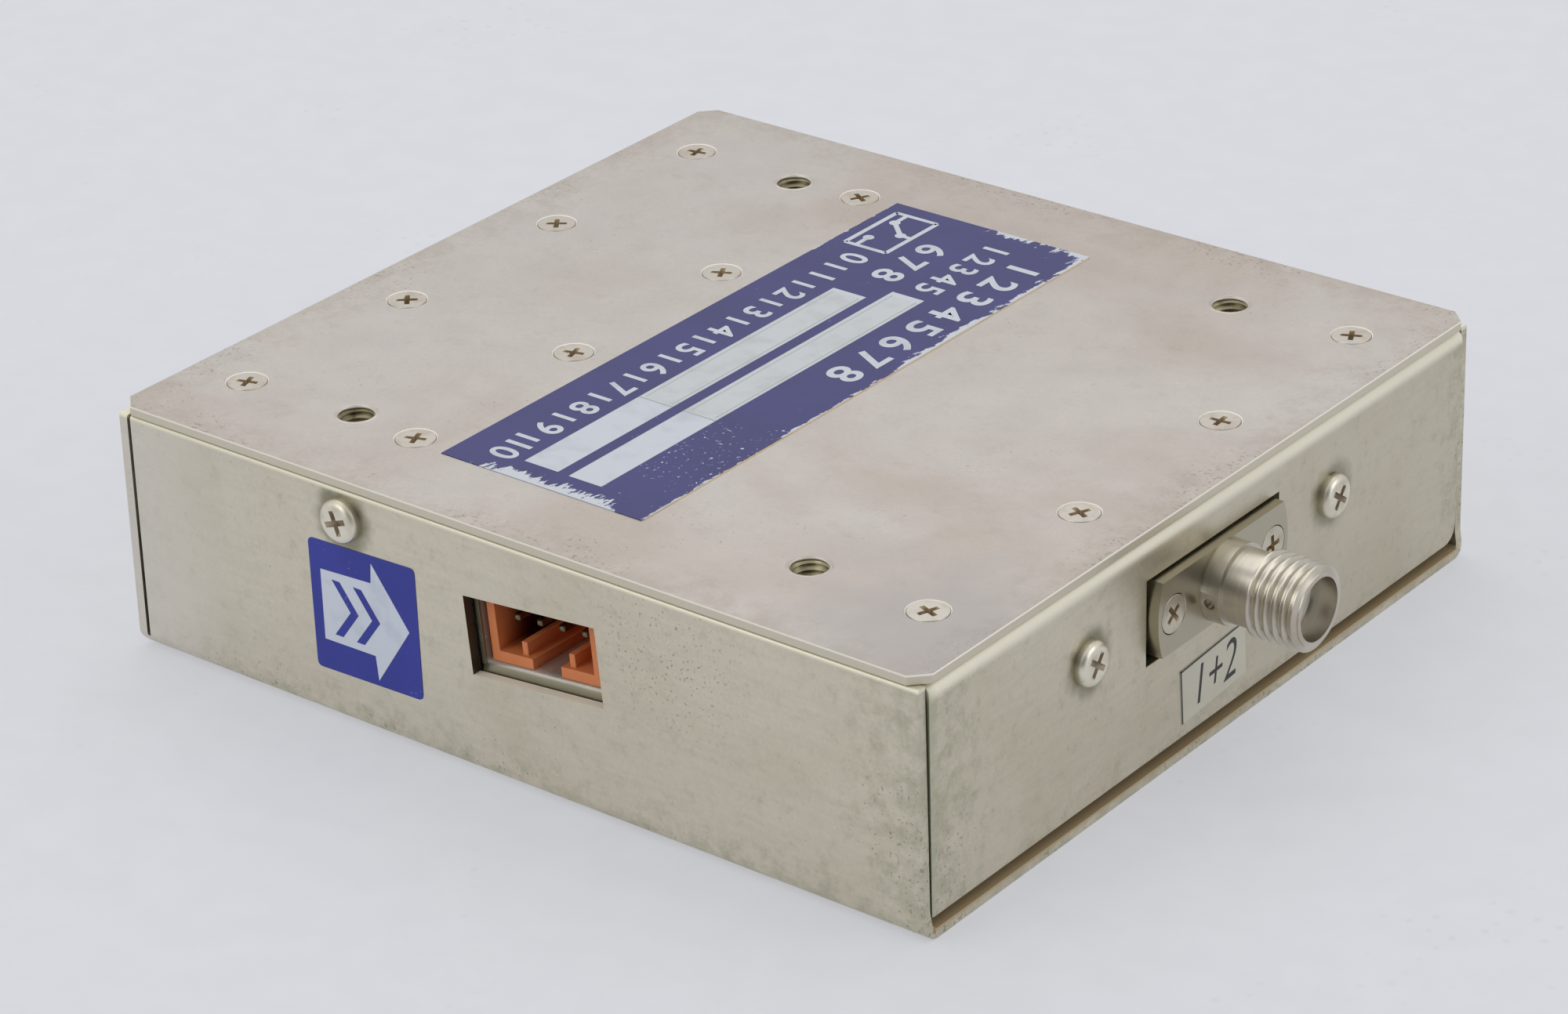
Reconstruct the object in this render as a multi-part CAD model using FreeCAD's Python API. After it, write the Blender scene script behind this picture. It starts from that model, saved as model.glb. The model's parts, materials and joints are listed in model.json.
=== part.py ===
import FreeCAD, Part
import math
import os

# Coaxial changeover relay: a flat sheet-metal case, an aluminium RF block with three SMA ports,
# and a rocking electromagnet drive that lifts one contact blade while it lets the other down.
# Millimetres.  +X is the face with the common port, -Y the face with the control header,
# +Z the screwed cover plate.  The origin is under the middle of the cover, on the case's underside.

# ---- RF block: the core that everything is screwed to
block_length = 68.7
block_width = 64.9
block_height = 8.55
drive_room = 2.8
block_notch_depth = 11.0
block_notch_side_room = 3.6

# ---- sheet-metal case
sheet = 0.75
case_slack = 0.1
tray_bend = 0.45
tray_front_lip = 0.18
wall_setback_low = 0.09
wall_setback_high = 0.27
wall_relief_start = 0.35
wall_relief_end = 2.0
tray_corner_slot = 0.3
tray_slot_floor = 0.15
wall_edge_round = 0.22
wall_top_slack = 0.05
panel_slack = 0.07
panel_side_gap = 0.15
panel_floor_gap = 0.75
panel_bend = 0.2
panel_lip = 2.0
panel_corner = 1.4
lip_room = 0.2

# ---- cover plate
plate_thickness = 0.75
plate_end_reach = 0.005
plate_side_setback = 0.05
plate_corner = 1.2

# ---- mounting holes, M3, through the cover plate into the block
mount_spacing_x = 40.0
mount_spacing_y = 50.0
mount_hole_radius = 1.5
mount_hole_depth = 6.5

# ---- M2 countersunk screws of the cover plate
plate_screw_end_inset = 4.35
plate_screw_side_inset = 6.95
plate_screw_middle_x = -14.0
plate_screw_count = 4
plate_screw_length = 4.5
plate_screw_turns = [18.0, 40.0, 35.0, 10.0, 21.0, 16.0, 27.0, 60.0, 70.0, 64.0, 4.0, 26.0]

# ---- screws in general
flat_head_radius = 1.44
flat_head_height = 0.85
flat_head_rim = 0.08
thread_radius = 0.95
hole_clearance = 0.05
sink_clearance = 0.08
pan_head_radius = 1.64
pan_head_height = 0.75
pan_head_round = 0.5
pan_screw_length = 4.0
flat_cross = {"span": 1.6, "foot": 0.75, "width": 0.36, "depth": 0.6}
pan_cross = {"span": 1.9, "foot": 0.9, "width": 0.43, "depth": 0.6}
small_cross = {"span": 1.2, "foot": 0.55, "width": 0.27, "depth": 0.3}
small_head_radius = 1.3
small_head_height = 0.55
small_thread_radius = 0.75
cover_screw_length = 3.6
board_screw_length = 1.9
board_head_radius = 1.17
board_head_height = 0.6
board_head_round = 0.3
board_screw_turns = [10.0, 52.0]

# ---- pan-head screws through the case walls, and the turn of each one's cross
panel_screw_y = [-14.9, 14.9]
panel_screw_turns = [54.0, 54.0]
side_screw_x = -14.0
side_screw_drop = 2.35
side_screw_turns = [20.0, 55.0]
back_screw_y = 25.0
back_screw_turn = 33.0

# ---- SMA ports, two-hole flange type
port_axis_rise = 1.4
port_spacing = 24.0
flange_end_room = 1.85
flange_height = 5.7
flange_thickness = 1.65
flange_screw_spacing = 12.2
flange_screw_length = 4.4
flange_head_radius = 1.4
flange_screw_turns = [38.0, 5.0, 20.0, 62.0, 47.0, 15.0]
flange_gap = 0.17
flange_gap_above = 0.2
flange_gap_below = 0.6
outlet_setback = 2.2
barrel_radius = 2.98
barrel_length = 1.45
neck_radius = 2.7
neck_length = 1.95
thread_major_radius = 3.1
thread_pitch = 0.705
thread_depth = 0.36
thread_crest = 0.14
thread_turns = 6
nose_radius = 2.66
nose_length = 0.095
nose_chamfer = 0.2
mouth_radius = 2.3
mouth_depth = 1.95
insulator_radius = 2.05
contact_radius = 0.635
contact_bore_radius = 0.47
contact_bore_depth = 2.4
epoxy_hole_radius = 0.42
epoxy_hole_depth = 0.35
epoxy_hole_place = 0.75
epoxy_hole_angle = -8.5

# ---- RF channels, lines and blades
switch_x = -4.0
channel_width = 3.6
channel_height = 3.1
port_wall = 3.35
line_radius = 0.8
pad_radius = 1.4
pad_thickness = 0.9
bead_length = 1.5
bead_slack = 0.05
bead_setback = 3.2
cover_thickness = 1.0
rf_cover_width = 38.0
cover_slack = 0.05
cover_screw_com_inset = 3.0
cover_screw_com_y = 10.0
cover_screw_port_inset = 4.0
cover_screw_side_insets = [5.0, 2.6]
cover_screws_x = [7.5, -12.0, -21.0]
blade_thickness = 0.25
blade_width = 1.6
blade_gap = 1.0
blade_overlap = 0.6
blade_corner = 0.48
contact_gap = 0.02
rod_y = 6.5
rod_travel = 0.55
rod_radius = 0.8
rod_stud_radius = 0.4
rod_cap_height = 0.4
rod_tip_round = 0.5
rod_tip_gap = 0.03
bush_radius = 1.5
running_clearance = 0.05
collar_radius = 1.5
collar_height = 0.3
collar_rise = 0.45
spring_radius = 1.22
spring_wire = 0.1
spring_turns = 3.0
spring_steps = 16

# ---- rocking drive
pole_gap = 0.63
pin_radius = 0.6
pin_overhang = 0.35
pin_clearance = 0.03
hub_radius = 1.2
hub_half_length = 4.85
hub_end_gap = 0.15
post_sheet = 0.6
post_half_width = 2.2
post_margin = 0.9
cradle_top = 0.5
cradle_half_width = 2.2
cradle_half_length = 8.0
armature_drop = 0.85
armature_thickness = 0.9
armature_half_width = 4.0
armature_overreach = 3.0
yoke_floor_gap = 0.2
yoke_thickness = 1.0
yoke_half_length = 13.2
yoke_arm_half_width = 8.2
yoke_end_rim = 0.2
yoke_side_rim = 0.1
yoke_screw_x = 11.0
yoke_screw_y = 6.0
yoke_screw_grip = 3.15
spacer_radius = 2.0
coil_y = 12.0
core_radius = 2.4
core_height = 2.87
core_spigot_radius = 1.5
core_fit = 0.06
bobbin_radius = 6.2
bobbin_wall = 0.45
bobbin_flange = 0.35
core_stand = 0.15
winding_setback = 0.3
winding_slack = 0.04
lug_length = 2.4
lug_half_width = 2.1
lug_overlap = 1.0
terminal_radius = 0.3
terminal_below = 0.9
terminal_above = 0.9
terminal_setout = [0.8, 1.7]
terminal_half_pitch = 1.2
magnet_half_length = 3.5
magnet_half_width = 3.0
magnet_rise = 0.03
bracket_base = 0.5

# ---- control header, its bracket and board, all standing at a slight slant
slant = 5.2
opening_x = 2.8
opening_z = 11.2
opening_side_room = 0.85
opening_lap = 0.45
header_width = 9.9
header_height = 6.4
header_depth = 7.0
header_seat = 2.15
header_recess = 1.2
header_wall = 0.75
header_floor = 0.8
header_back = 1.2
key_slot_width = 2.5
key_rib_thickness = 0.5
key_rib_height = 1.0
key_rib_offset = 0.6
key_rib_setback = 0.3
header_edge_round = 0.15
pin_pitch = 2.0
pin_count = 4
pin_side = 0.5
pin_tip_setback = 0.75
pin_tip_chamfer = 0.14
pin_height = 3.2
pin_tail = 1.2
bracket_sheet = 0.3
bracket_bend = 0.5
bracket_wall_gap = 0.1
bracket_side_gap = 0.35
cheek_drop = 0.2
cheek_rear_gap = 1.2
ear_width = 2.4
ear_over_screw = 2.0
foot_length = 5.0
foot_half_width = 4.0
board_thickness = 1.0
board_end_setback = 0.4
board_over_header = 1.6
board_screw_rise = 2.6
diode_radius = 0.9
diode_length = 3.6
diode_rises = [4.6, 6.7]
diode_lead_radius = 0.25
diode_lead_reach = 0.7
diode_standoff = 0.1

# ---- lead wires from the board to the coils
wire_radius = 0.33
wire_start_x = [0.4, 2.0, 3.6, 5.2]
wire_start_z = 10.9
wire_out = 1.5
wire_drop_lean = 0.5
wire_turn_y = 5.0
wire_levels = [9.3, 8.4]
wire_bend = 0.9

# ---- stickers
foil = 0.06
name_label_x = [-10.92, 6.87]
name_label_y = [-26.3, 26.15]
arrow_label_width = 9.85
arrow_label_height = 10.2
arrow_label_x = -12.43
arrow_label_z = 9.06
arrow_label_slant = 1.5
port_label_width = 8.0
port_label_height = 4.25
port_label_y = 0.1
port_label_drop = 7.47
port_label_slant = -4.0

# ---- worked out from the above
yoke_bottom = sheet + yoke_floor_gap
yoke_top = yoke_bottom + yoke_thickness
pivot_z = yoke_top + core_height + pole_gap + armature_thickness + armature_drop
block_bottom = pivot_z + drive_room
block_top = block_bottom + block_height
block_end = block_length / 2
inside_half_width = block_width / 2 + case_slack
tray_side = inside_half_width + sheet
tray_back = -block_end - sheet
panel_inner = block_end + panel_slack
panel_face = panel_inner + sheet
tray_front = panel_face + tray_front_lip
wall_front_low = panel_face - wall_setback_low
wall_front_high = panel_face - wall_setback_high
tray_top = block_top - wall_top_slack
plate_top = block_top + plate_thickness
cover_top = block_bottom + cover_thickness
outlet_seat = block_end - outlet_setback
line_start = block_end - port_wall
outlet_line_start = outlet_seat - port_wall
channel_floor = cover_top
channel_top = channel_floor + channel_height
port_y = port_spacing / 2
port_axis_z = cover_top + port_axis_rise
flange_radius = flange_screw_spacing / 2 + flange_end_room
plate_half_length = panel_face + plate_end_reach
plate_half_width = tray_side - plate_side_setback
plate_screw_pitch = (block_width - 2 * plate_screw_side_inset) / (plate_screw_count - 1)
side_screw_z = block_top - side_screw_drop
pad_bottom = port_axis_z - pad_thickness / 2
blade_closed = pad_bottom - contact_gap - blade_thickness
half_travel = rod_travel / 2
rock_half_angle = math.degrees(math.atan2(half_travel, rod_y))
yoke_screw_length = block_bottom - yoke_bottom + yoke_screw_grip
bobbin_height = core_height - core_stand
winding_radius = bobbin_radius - winding_setback
lug_reach = bobbin_radius + lug_length
magnet_height = core_height - bracket_base + magnet_rise
opening_width = header_width + 2 * opening_side_room
opening_height = header_height - opening_lap
bracket_half_width = header_width / 2 + bracket_side_gap + bracket_sheet
board_width = 2 * (bracket_half_width + ear_width - board_end_setback)
board_height = header_height + board_over_header
header_front = -tray_side + header_recess
header_rear = header_front + header_depth
bracket_front = -inside_half_width + bracket_wall_gap
board_rear = header_rear + board_thickness
slant_centre = FreeCAD.Vector(opening_x, 0, opening_z)
X_AXIS = FreeCAD.Vector(1, 0, 0)
Y_AXIS = FreeCAD.Vector(0, 1, 0)
Z_AXIS = FreeCAD.Vector(0, 0, 1)
margin = 1.0
same_place = 1e-4


# ---- plain shapes

def block(x0, x1, y0, y1, z0, z1):
    """A box between two corners, whichever way round they are given."""
    low = FreeCAD.Vector(min(x0, x1), min(y0, y1), min(z0, z1))
    return Part.makeBox(abs(x1 - x0), abs(y1 - y0), abs(z1 - z0), low)


def rod(radius, x, y, z, direction, length):
    """A cylinder from a point along a direction."""
    return Part.makeCylinder(radius, length, FreeCAD.Vector(x, y, z), direction)


def moved(shape, x, y, z):
    copy = shape.copy()
    copy.translate(FreeCAD.Vector(x, y, z))
    return copy


def turned(shape, centre, axis, angle):
    copy = shape.copy()
    copy.rotate(centre, axis, angle)
    return copy


def slanted(shape):
    """Turns a piece of the header group so that its +X end rises."""
    return turned(shape, slant_centre, Y_AXIS, -slant)


def spun(points, axis):
    """A solid of revolution about X or Z from (along, radius) points."""
    if axis == "x":
        corners = [FreeCAD.Vector(along, 0, radius) for along, radius in points]
        direction = X_AXIS
    else:
        corners = [FreeCAD.Vector(radius, 0, along) for along, radius in points]
        direction = Z_AXIS
    face = Part.Face(Part.makePolygon(corners + [corners[0]]))
    return face.revolve(FreeCAD.Vector(0, 0, 0), direction, 360)


def edges_where(shape, test):
    """The straight edges whose middle passes a test."""
    found = []
    for edge in shape.Edges:
        middle = edge.CenterOfMass
        if test(middle, edge.BoundBox):
            found.append(edge)
    return found


def near(a, b):
    return abs(a - b) < same_place


def joined(shapes):
    """One solid from touching or overlapping ones, with the seams removed."""
    return shapes[0].fuse(shapes[1:]).removeSplitter()


def cut_all(shape, tools):
    return shape.cut(tools).removeSplitter()


def solids_of(shapes):
    return Part.makeCompound(shapes)


# ---- screws: each is made pointing down -Z with its bearing level at the origin

def cross_recess(top, cross):
    """A tapered cross slot that opens upwards at a height."""
    half = cross["span"] / 2
    foot = cross["foot"] / 2
    width = cross["width"]
    bottom = top - cross["depth"]
    wings = []
    for angle in (0, 90):
        corners = [FreeCAD.Vector(x, -width / 2, z)
                   for x, z in ((-half, top), (half, top), (foot, bottom), (-foot, bottom))]
        face = Part.Face(Part.makePolygon(corners + [corners[0]]))
        wing = face.extrude(FreeCAD.Vector(0, width, 0))
        wings.append(turned(wing, FreeCAD.Vector(0, 0, 0), Z_AXIS, angle))
    return joined(wings)


def flat_screw(head_radius, head_height, radius, length, cross, turn):
    """Countersunk screw, its head's flat top at the origin."""
    profile = [(0, 0), (0, head_radius), (-flat_head_rim, head_radius), (-head_height, radius),
               (-length, radius), (-length, 0)]
    screw = spun(profile, "z").cut(cross_recess(0, cross))
    return turned(screw, FreeCAD.Vector(0, 0, 0), Z_AXIS, turn)


def countersink(head_radius, head_height, radius, length):
    """The clearance cut that a countersunk screw sits in."""
    profile = [(margin, 0), (margin, head_radius + sink_clearance), (0, head_radius + sink_clearance),
               (-head_height - hole_clearance, radius + hole_clearance),
               (-length - hole_clearance, radius + hole_clearance), (-length - hole_clearance, 0)]
    return spun(profile, "z")


def pan_screw(head_radius, head_height, head_round, radius, length, cross, turn):
    """Pan-head screw, its bearing face at the origin."""
    head = rod(head_radius, 0, 0, 0, Z_AXIS, head_height)
    rim = edges_where(head, lambda middle, box: near(box.ZMin, head_height) and near(box.ZMax, head_height))
    head = head.makeFillet(head_round, rim)
    shank = rod(radius, 0, 0, -length, Z_AXIS, length)
    screw = joined([head, shank]).cut(cross_recess(head_height, cross))
    return turned(screw, FreeCAD.Vector(0, 0, 0), Z_AXIS, turn)


def shank_hole(radius, length):
    """The clearance cut for a screw's shank, from a little above its bearing face."""
    return rod(radius + hole_clearance, 0, 0, -length - hole_clearance, Z_AXIS,
               length + hole_clearance + margin)


def facing(shape, side):
    """Turns a shape made along +Z so that it faces +X, -X, +Y, -Y, +Z or -Z."""
    origin = FreeCAD.Vector(0, 0, 0)
    turns = {"+X": (Y_AXIS, 90), "-X": (Y_AXIS, -90), "+Y": (X_AXIS, -90),
             "-Y": (X_AXIS, 90), "-Z": (X_AXIS, 180), "+Z": (Z_AXIS, 0)}
    axis, angle = turns[side]
    return turned(shape, origin, axis, angle)


# ---- places of the repeated pieces

def plate_screw_places():
    start = -(plate_screw_count - 1) / 2 * plate_screw_pitch
    end_row = block_end - plate_screw_end_inset
    places = []
    for x in (-end_row, plate_screw_middle_x, end_row):
        for index in range(plate_screw_count):
            places.append((x, start + index * plate_screw_pitch))
    return places


def cover_screw_places():
    com_x = line_start - cover_screw_com_inset
    inner_y, outer_y = [rf_cover_width / 2 - inset for inset in cover_screw_side_insets]
    common_x, switch_side_x, far_x = cover_screws_x
    return [(com_x, cover_screw_com_y), (com_x, -cover_screw_com_y), (common_x, inner_y),
            (common_x, -inner_y), (switch_side_x, 0), (cover_screw_port_inset - outlet_line_start, 0),
            (far_x, outer_y), (far_x, -outer_y)]


def mount_places():
    half_x = mount_spacing_x / 2
    half_y = mount_spacing_y / 2
    return [(x, y) for x in (-half_x, half_x) for y in (-half_y, half_y)]


def port_places():
    """Each port's side of the case and its Y: the common port, then ports 1 and 2."""
    return [("+X", 0), ("-X", port_y), ("-X", -port_y)]


def port_seat(side):
    """Distance from the middle to the back of a port's flange. The outlets stand in pockets."""
    return block_end if side == "+X" else outlet_seat


def line_reach(side):
    """Distance from the middle to the outer end of a port's line."""
    return port_seat(side) - port_wall


def flange_screw_places():
    places = []
    for side, y in port_places():
        for step in (-flange_screw_spacing / 2, flange_screw_spacing / 2):
            places.append((side, y + step))
    return places


def case_screw_places():
    """Side, position along that side, height and turn of each pan-head screw."""
    places = [("+X", y, port_axis_z, turn) for y, turn in zip(panel_screw_y, panel_screw_turns)]
    places += [("-X", y, port_axis_z, back_screw_turn) for y in (-back_screw_y, back_screw_y)]
    places += [(side, side_screw_x, side_screw_z, turn)
               for side, turn in zip(("-Y", "+Y"), side_screw_turns)]
    return places


def case_face(side):
    """Distance from the middle to a side's outer face."""
    return {"+X": panel_face, "-X": -tray_back}.get(side, tray_side)


def wall_screw_holes(sides):
    """Shank holes of the pan-head screws on some of the sides."""
    return [on_side(shank_hole(thread_radius, pan_screw_length), side, along, z, case_face(side))
            for side, along, z, turn in case_screw_places() if side in sides]


def on_side(shape, side, along, z, face):
    """Puts a shape made along +Z on a case side, at a distance out from the middle."""
    piece = facing(shape, side)
    if side == "+X":
        return moved(piece, face, along, z)
    if side == "-X":
        return moved(piece, -face, along, z)
    if side == "+Y":
        return moved(piece, along, face, z)
    return moved(piece, along, -face, z)


# ---- sheet-metal case

def case_tray():
    """Floor and three walls folded from one sheet; open at the top and at the +X end."""
    outer = block(tray_back, tray_front, -tray_side, tray_side, 0, tray_top)
    inner = block(-block_end, tray_front + margin, -inside_half_width, inside_half_width,
                  sheet, tray_top + margin)

    def lower_edges(shape, low, back, side):
        return edges_where(shape, lambda middle, box: near(box.ZMin, low) and near(box.ZMax, low)
                           and (near(box.XMax, back) or near(abs(middle.y), side)))

    outer = outer.makeFillet(tray_bend + sheet, lower_edges(outer, 0, tray_back, tray_side))
    rim = edges_where(outer, lambda middle, box: near(box.ZMin, tray_top) and near(abs(middle.y), tray_side))
    outer = outer.makeFillet(wall_edge_round, rim)
    inner = inner.makeFillet(tray_bend, lower_edges(inner, sheet, -block_end, inside_half_width))
    cuts = [inner]
    for side in (-1, 1):
        cuts.append(block(-block_end, -block_end + tray_corner_slot, side * (inside_half_width - case_slack),
                          side * (tray_side + margin), sheet + tray_slot_floor, tray_top + margin))
    window = block(opening_x - opening_width / 2, opening_x + opening_width / 2,
                   -tray_side - margin, -inside_half_width + margin,
                   opening_z - opening_height / 2, opening_z + opening_height / 2)
    cuts.append(slanted(window))
    for side, y in port_places():
        if side == "-X":
            cuts.append(port_window(y, tray_back - margin, -block_end + margin))
    cuts += [wall_front_relief(side) for side in (-1, 1)]
    return cut_all(outer, cuts + wall_screw_holes(("-X", "-Y", "+Y")))


def wall_front_relief(side):
    """The wedge taken off a side wall's front edge, which leans back a little towards the top."""
    far = tray_front + margin
    outline = [(far, wall_relief_start), (tray_front, wall_relief_start), (wall_front_low, wall_relief_end),
               (wall_front_high, tray_top + margin), (far, tray_top + margin)]
    corners = [FreeCAD.Vector(x, 0, z) for x, z in outline]
    face = Part.Face(Part.makePolygon(corners + corners[:1]))
    reach = inside_half_width - panel_side_gap
    wedge = face.extrude(FreeCAD.Vector(0, side * (tray_side + margin - reach), 0))
    return moved(wedge, 0, side * reach, 0)


def port_window(y, x0, x1):
    """The cut-out that a port's flange stands in."""
    reach = flange_radius + flange_gap
    return block(x0, x1, y - reach, y + reach, port_axis_z - flange_height / 2 - flange_gap_below,
                 port_axis_z + flange_height / 2 + flange_gap_above)


def com_end_panel():
    """Separate end panel with its top edge folded back over the block."""
    half = inside_half_width - panel_side_gap
    low = sheet + panel_floor_gap
    high = tray_top
    face = block(panel_inner, panel_face, -half, half, low, high)
    lip = block(panel_inner - panel_lip, panel_face, -half, half, high - sheet, high)
    body = joined([face, lip])
    bend = edges_where(body, lambda middle, box: near(middle.x, panel_face) and near(middle.z, high))
    body = body.makeFillet(panel_bend + sheet, bend)
    lower = edges_where(body, lambda middle, box: near(abs(middle.y), half) and near(middle.z, low)
                        and middle.y > 0)
    body = body.makeFillet(panel_corner, lower)
    window = port_window(0, panel_inner - margin, panel_face + margin)
    return cut_all(body, [window] + wall_screw_holes(("+X",)))


def top_plate():
    """Flat cover plate with clipped corners, countersunk holes and the four mounting holes."""
    half_x = plate_half_length
    half_y = plate_half_width
    plate = block(-half_x, half_x, -half_y, half_y, block_top, plate_top)
    upright = edges_where(plate, lambda middle, box: near(abs(middle.x), half_x)
                          and near(abs(middle.y), half_y))
    plate = plate.makeChamfer(plate_corner, upright)
    cuts = []
    for x, y in plate_screw_places():
        sink = countersink(flat_head_radius, flat_head_height, thread_radius, plate_screw_length)
        cuts.append(moved(sink, x, y, plate_top))
    for x, y in mount_places():
        cuts.append(rod(mount_hole_radius, x, y, block_top - margin, Z_AXIS, plate_thickness + 2 * margin))
    return cut_all(plate, cuts)


def plate_screws():
    screws = []
    for (x, y), turn in zip(plate_screw_places(), plate_screw_turns):
        screw = flat_screw(flat_head_radius, flat_head_height, thread_radius, plate_screw_length,
                           flat_cross, turn)
        screws.append(moved(screw, x, y, plate_top))
    return solids_of(screws)


def case_screws():
    screws = []
    for side, along, z, turn in case_screw_places():
        screw = pan_screw(pan_head_radius, pan_head_height, pan_head_round, thread_radius,
                          pan_screw_length, pan_cross, turn)
        screws.append(on_side(screw, side, along, z, case_face(side)))
    return solids_of(screws)


# ---- RF block and what is inside it

def rf_block():
    """Machined block: ports at its ends, channels in its underside, screwed to from all sides."""
    body = block(-block_end, block_end, -block_width / 2, block_width / 2, block_bottom, block_top)
    cuts = []
    notch_half = board_width / 2 + block_notch_side_room
    cuts.append(block(opening_x - notch_half, opening_x + notch_half, -block_width / 2 - margin,
                      -block_width / 2 + block_notch_depth, block_bottom - margin, block_top + margin))
    cuts.append(block(panel_inner - panel_lip - lip_room, block_end + margin, -block_width / 2 - margin,
                      block_width / 2 + margin, tray_top - sheet - lip_room, block_top + margin))
    recess = rf_cover_width / 2 + cover_slack
    cuts.append(block(-outlet_line_start, line_start, -recess, recess, block_bottom - margin, cover_top))
    cuts += channel_cuts()
    for side, y in port_places():
        cuts.append(on_side(rod(insulator_radius, 0, 0, -port_wall - hole_clearance, Z_AXIS,
                                port_wall + margin), side, y, port_axis_z, port_seat(side)))
        if side == "-X":
            cuts.append(port_window(y, -block_end - margin, -outlet_seat))
    for side, y in flange_screw_places():
        bore = shank_hole(thread_radius, flange_screw_length - flange_thickness)
        cuts.append(on_side(bore, side, y, port_axis_z, port_seat(side)))
    cuts += wall_screw_holes(("+X", "-X", "+Y", "-Y"))
    for x, y in plate_screw_places():
        sink = countersink(flat_head_radius, flat_head_height, thread_radius, plate_screw_length)
        cuts.append(moved(sink, x, y, plate_top))
    for x, y in mount_places():
        cuts.append(rod(mount_hole_radius, x, y, plate_top - mount_hole_depth, Z_AXIS, mount_hole_depth))
    for x, y in cover_screw_places():
        cuts.append(moved(facing(shank_hole(small_thread_radius, cover_screw_length), "-Z"),
                          x, y, block_bottom))
    for x, y in yoke_screw_places():
        cuts.append(moved(facing(shank_hole(thread_radius, yoke_screw_length), "-Z"), x, y, yoke_bottom))
    return cut_all(body, cuts)


def channel_cuts():
    """A T of square channels: the common line, the cross channel for the blades, two port lines."""
    half = channel_width / 2
    low = channel_floor - cover_slack
    common = block(switch_x - half, line_start, -half, half, low, channel_top)
    cross = block(switch_x - half, switch_x + half, -port_y - half, port_y + half, low, channel_top)
    ports = [block(-outlet_line_start, switch_x, y - half, y + half, low, channel_top)
             for y in (-port_y, port_y)]
    return [common, cross] + ports


def rf_cover():
    """Cover plate under the channels, let into the block's underside."""
    half = rf_cover_width / 2
    plate = block(cover_slack - outlet_line_start, line_start - cover_slack, -half, half, block_bottom,
                  cover_top)
    cuts = []
    for y in (-rod_y, rod_y):
        cuts.append(rod(bush_radius, switch_x, y, block_bottom - margin, Z_AXIS,
                        cover_thickness + 2 * margin))
    for x, y in cover_screw_places():
        sink = countersink(small_head_radius, small_head_height, small_thread_radius, cover_screw_length)
        cuts.append(moved(facing(sink, "-Z"), x, y, block_bottom))
    for x, y in yoke_screw_places():
        cuts.append(moved(facing(shank_hole(thread_radius, yoke_screw_length), "-Z"), x, y, yoke_bottom))
    return cut_all(plate, cuts)


def rf_cover_screws():
    screws = []
    for x, y in cover_screw_places():
        screw = flat_screw(small_head_radius, small_head_height, small_thread_radius,
                           cover_screw_length, small_cross, x + y)
        screws.append(moved(facing(screw, "-Z"), x, y, block_bottom))
    return solids_of(screws)


def connector_body(side, y):
    """SMA jack: a flange cut from a disc, a smooth barrel, a neck and the coupling thread."""
    reach = barrel_length + flange_thickness
    profile = [(0, flange_radius), (flange_thickness, flange_radius),
               (flange_thickness, barrel_radius), (reach, barrel_radius), (reach, neck_radius)]
    start = reach + neck_length
    root = thread_major_radius - thread_depth
    profile += [(start, neck_radius), (start, root)]
    rise = thread_rise()
    for turn in range(thread_turns):
        along = start + turn * thread_pitch
        profile += [(along + rise, thread_major_radius), (along + rise + thread_crest, thread_major_radius)]
        if turn < thread_turns - 1:
            profile += [(along + 2 * rise + thread_crest, root), (along + thread_pitch, root)]
    thread_end = start + (thread_turns - 1) * thread_pitch + rise + thread_crest
    nose_start = thread_end + nose_chamfer
    tip = nose_start + nose_length
    profile += [(nose_start, nose_radius), (tip, nose_radius), (tip, mouth_radius),
                (tip - mouth_depth, mouth_radius),
                (tip - mouth_depth, insulator_radius), (0, insulator_radius)]
    body = spun(profile, "x")
    high = flange_radius + margin
    cuts = [block(-margin, flange_thickness, -high, high, side * flange_height / 2, side * high)
            for side in (-1, 1)]
    for step in (-flange_screw_spacing / 2, flange_screw_spacing / 2):
        sink = countersink(flange_head_radius, flat_head_height, thread_radius, flange_screw_length)
        cuts.append(moved(facing(sink, "+X"), flange_thickness, step, 0))
    angle = math.radians(epoxy_hole_angle)
    direction = FreeCAD.Vector(0, -math.cos(angle), math.sin(angle))
    depth = barrel_radius - epoxy_hole_depth
    cuts.append(rod(epoxy_hole_radius, flange_thickness + epoxy_hole_place, direction.y * depth,
                    direction.z * depth, direction, margin))
    body = cut_all(body, cuts)
    return on_port(body, side, y)


def on_port(piece, side, y):
    """Puts a piece made along +X from its flange's back face on its port."""
    if side == "-X":
        piece = turned(piece, FreeCAD.Vector(0, 0, 0), Z_AXIS, 180)
        return moved(piece, -outlet_seat, y, port_axis_z)
    return moved(piece, block_end, y, port_axis_z)


def thread_rise():
    """Length along the axis of one flank of the thread."""
    return (thread_pitch - 2 * thread_crest) / 2


def port_reach():
    """Length of a connector from its flange's back face to its nose."""
    thread = (thread_turns - 1) * thread_pitch + thread_rise() + thread_crest + nose_chamfer
    return flange_thickness + barrel_length + neck_length + thread + nose_length


def connector_insulators():
    pieces = []
    length = port_reach() - mouth_depth + port_wall
    for side, y in port_places():
        tube = rod(insulator_radius, -port_wall, 0, 0, X_AXIS, length)
        tube = tube.cut(rod(contact_radius, -port_wall - margin, 0, 0, X_AXIS, length + 2 * margin))
        pieces.append(on_port(tube, side, y))
    return solids_of(pieces)


def connector_contacts():
    pieces = []
    front = port_reach() - mouth_depth
    for side, y in port_places():
        pin = rod(contact_radius, -port_wall, 0, 0, X_AXIS, front + port_wall)
        pin = pin.cut(rod(contact_bore_radius, front - contact_bore_depth, 0, 0, X_AXIS,
                          contact_bore_depth + margin))
        pieces.append(on_port(pin, side, y))
    return solids_of(pieces)


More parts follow.
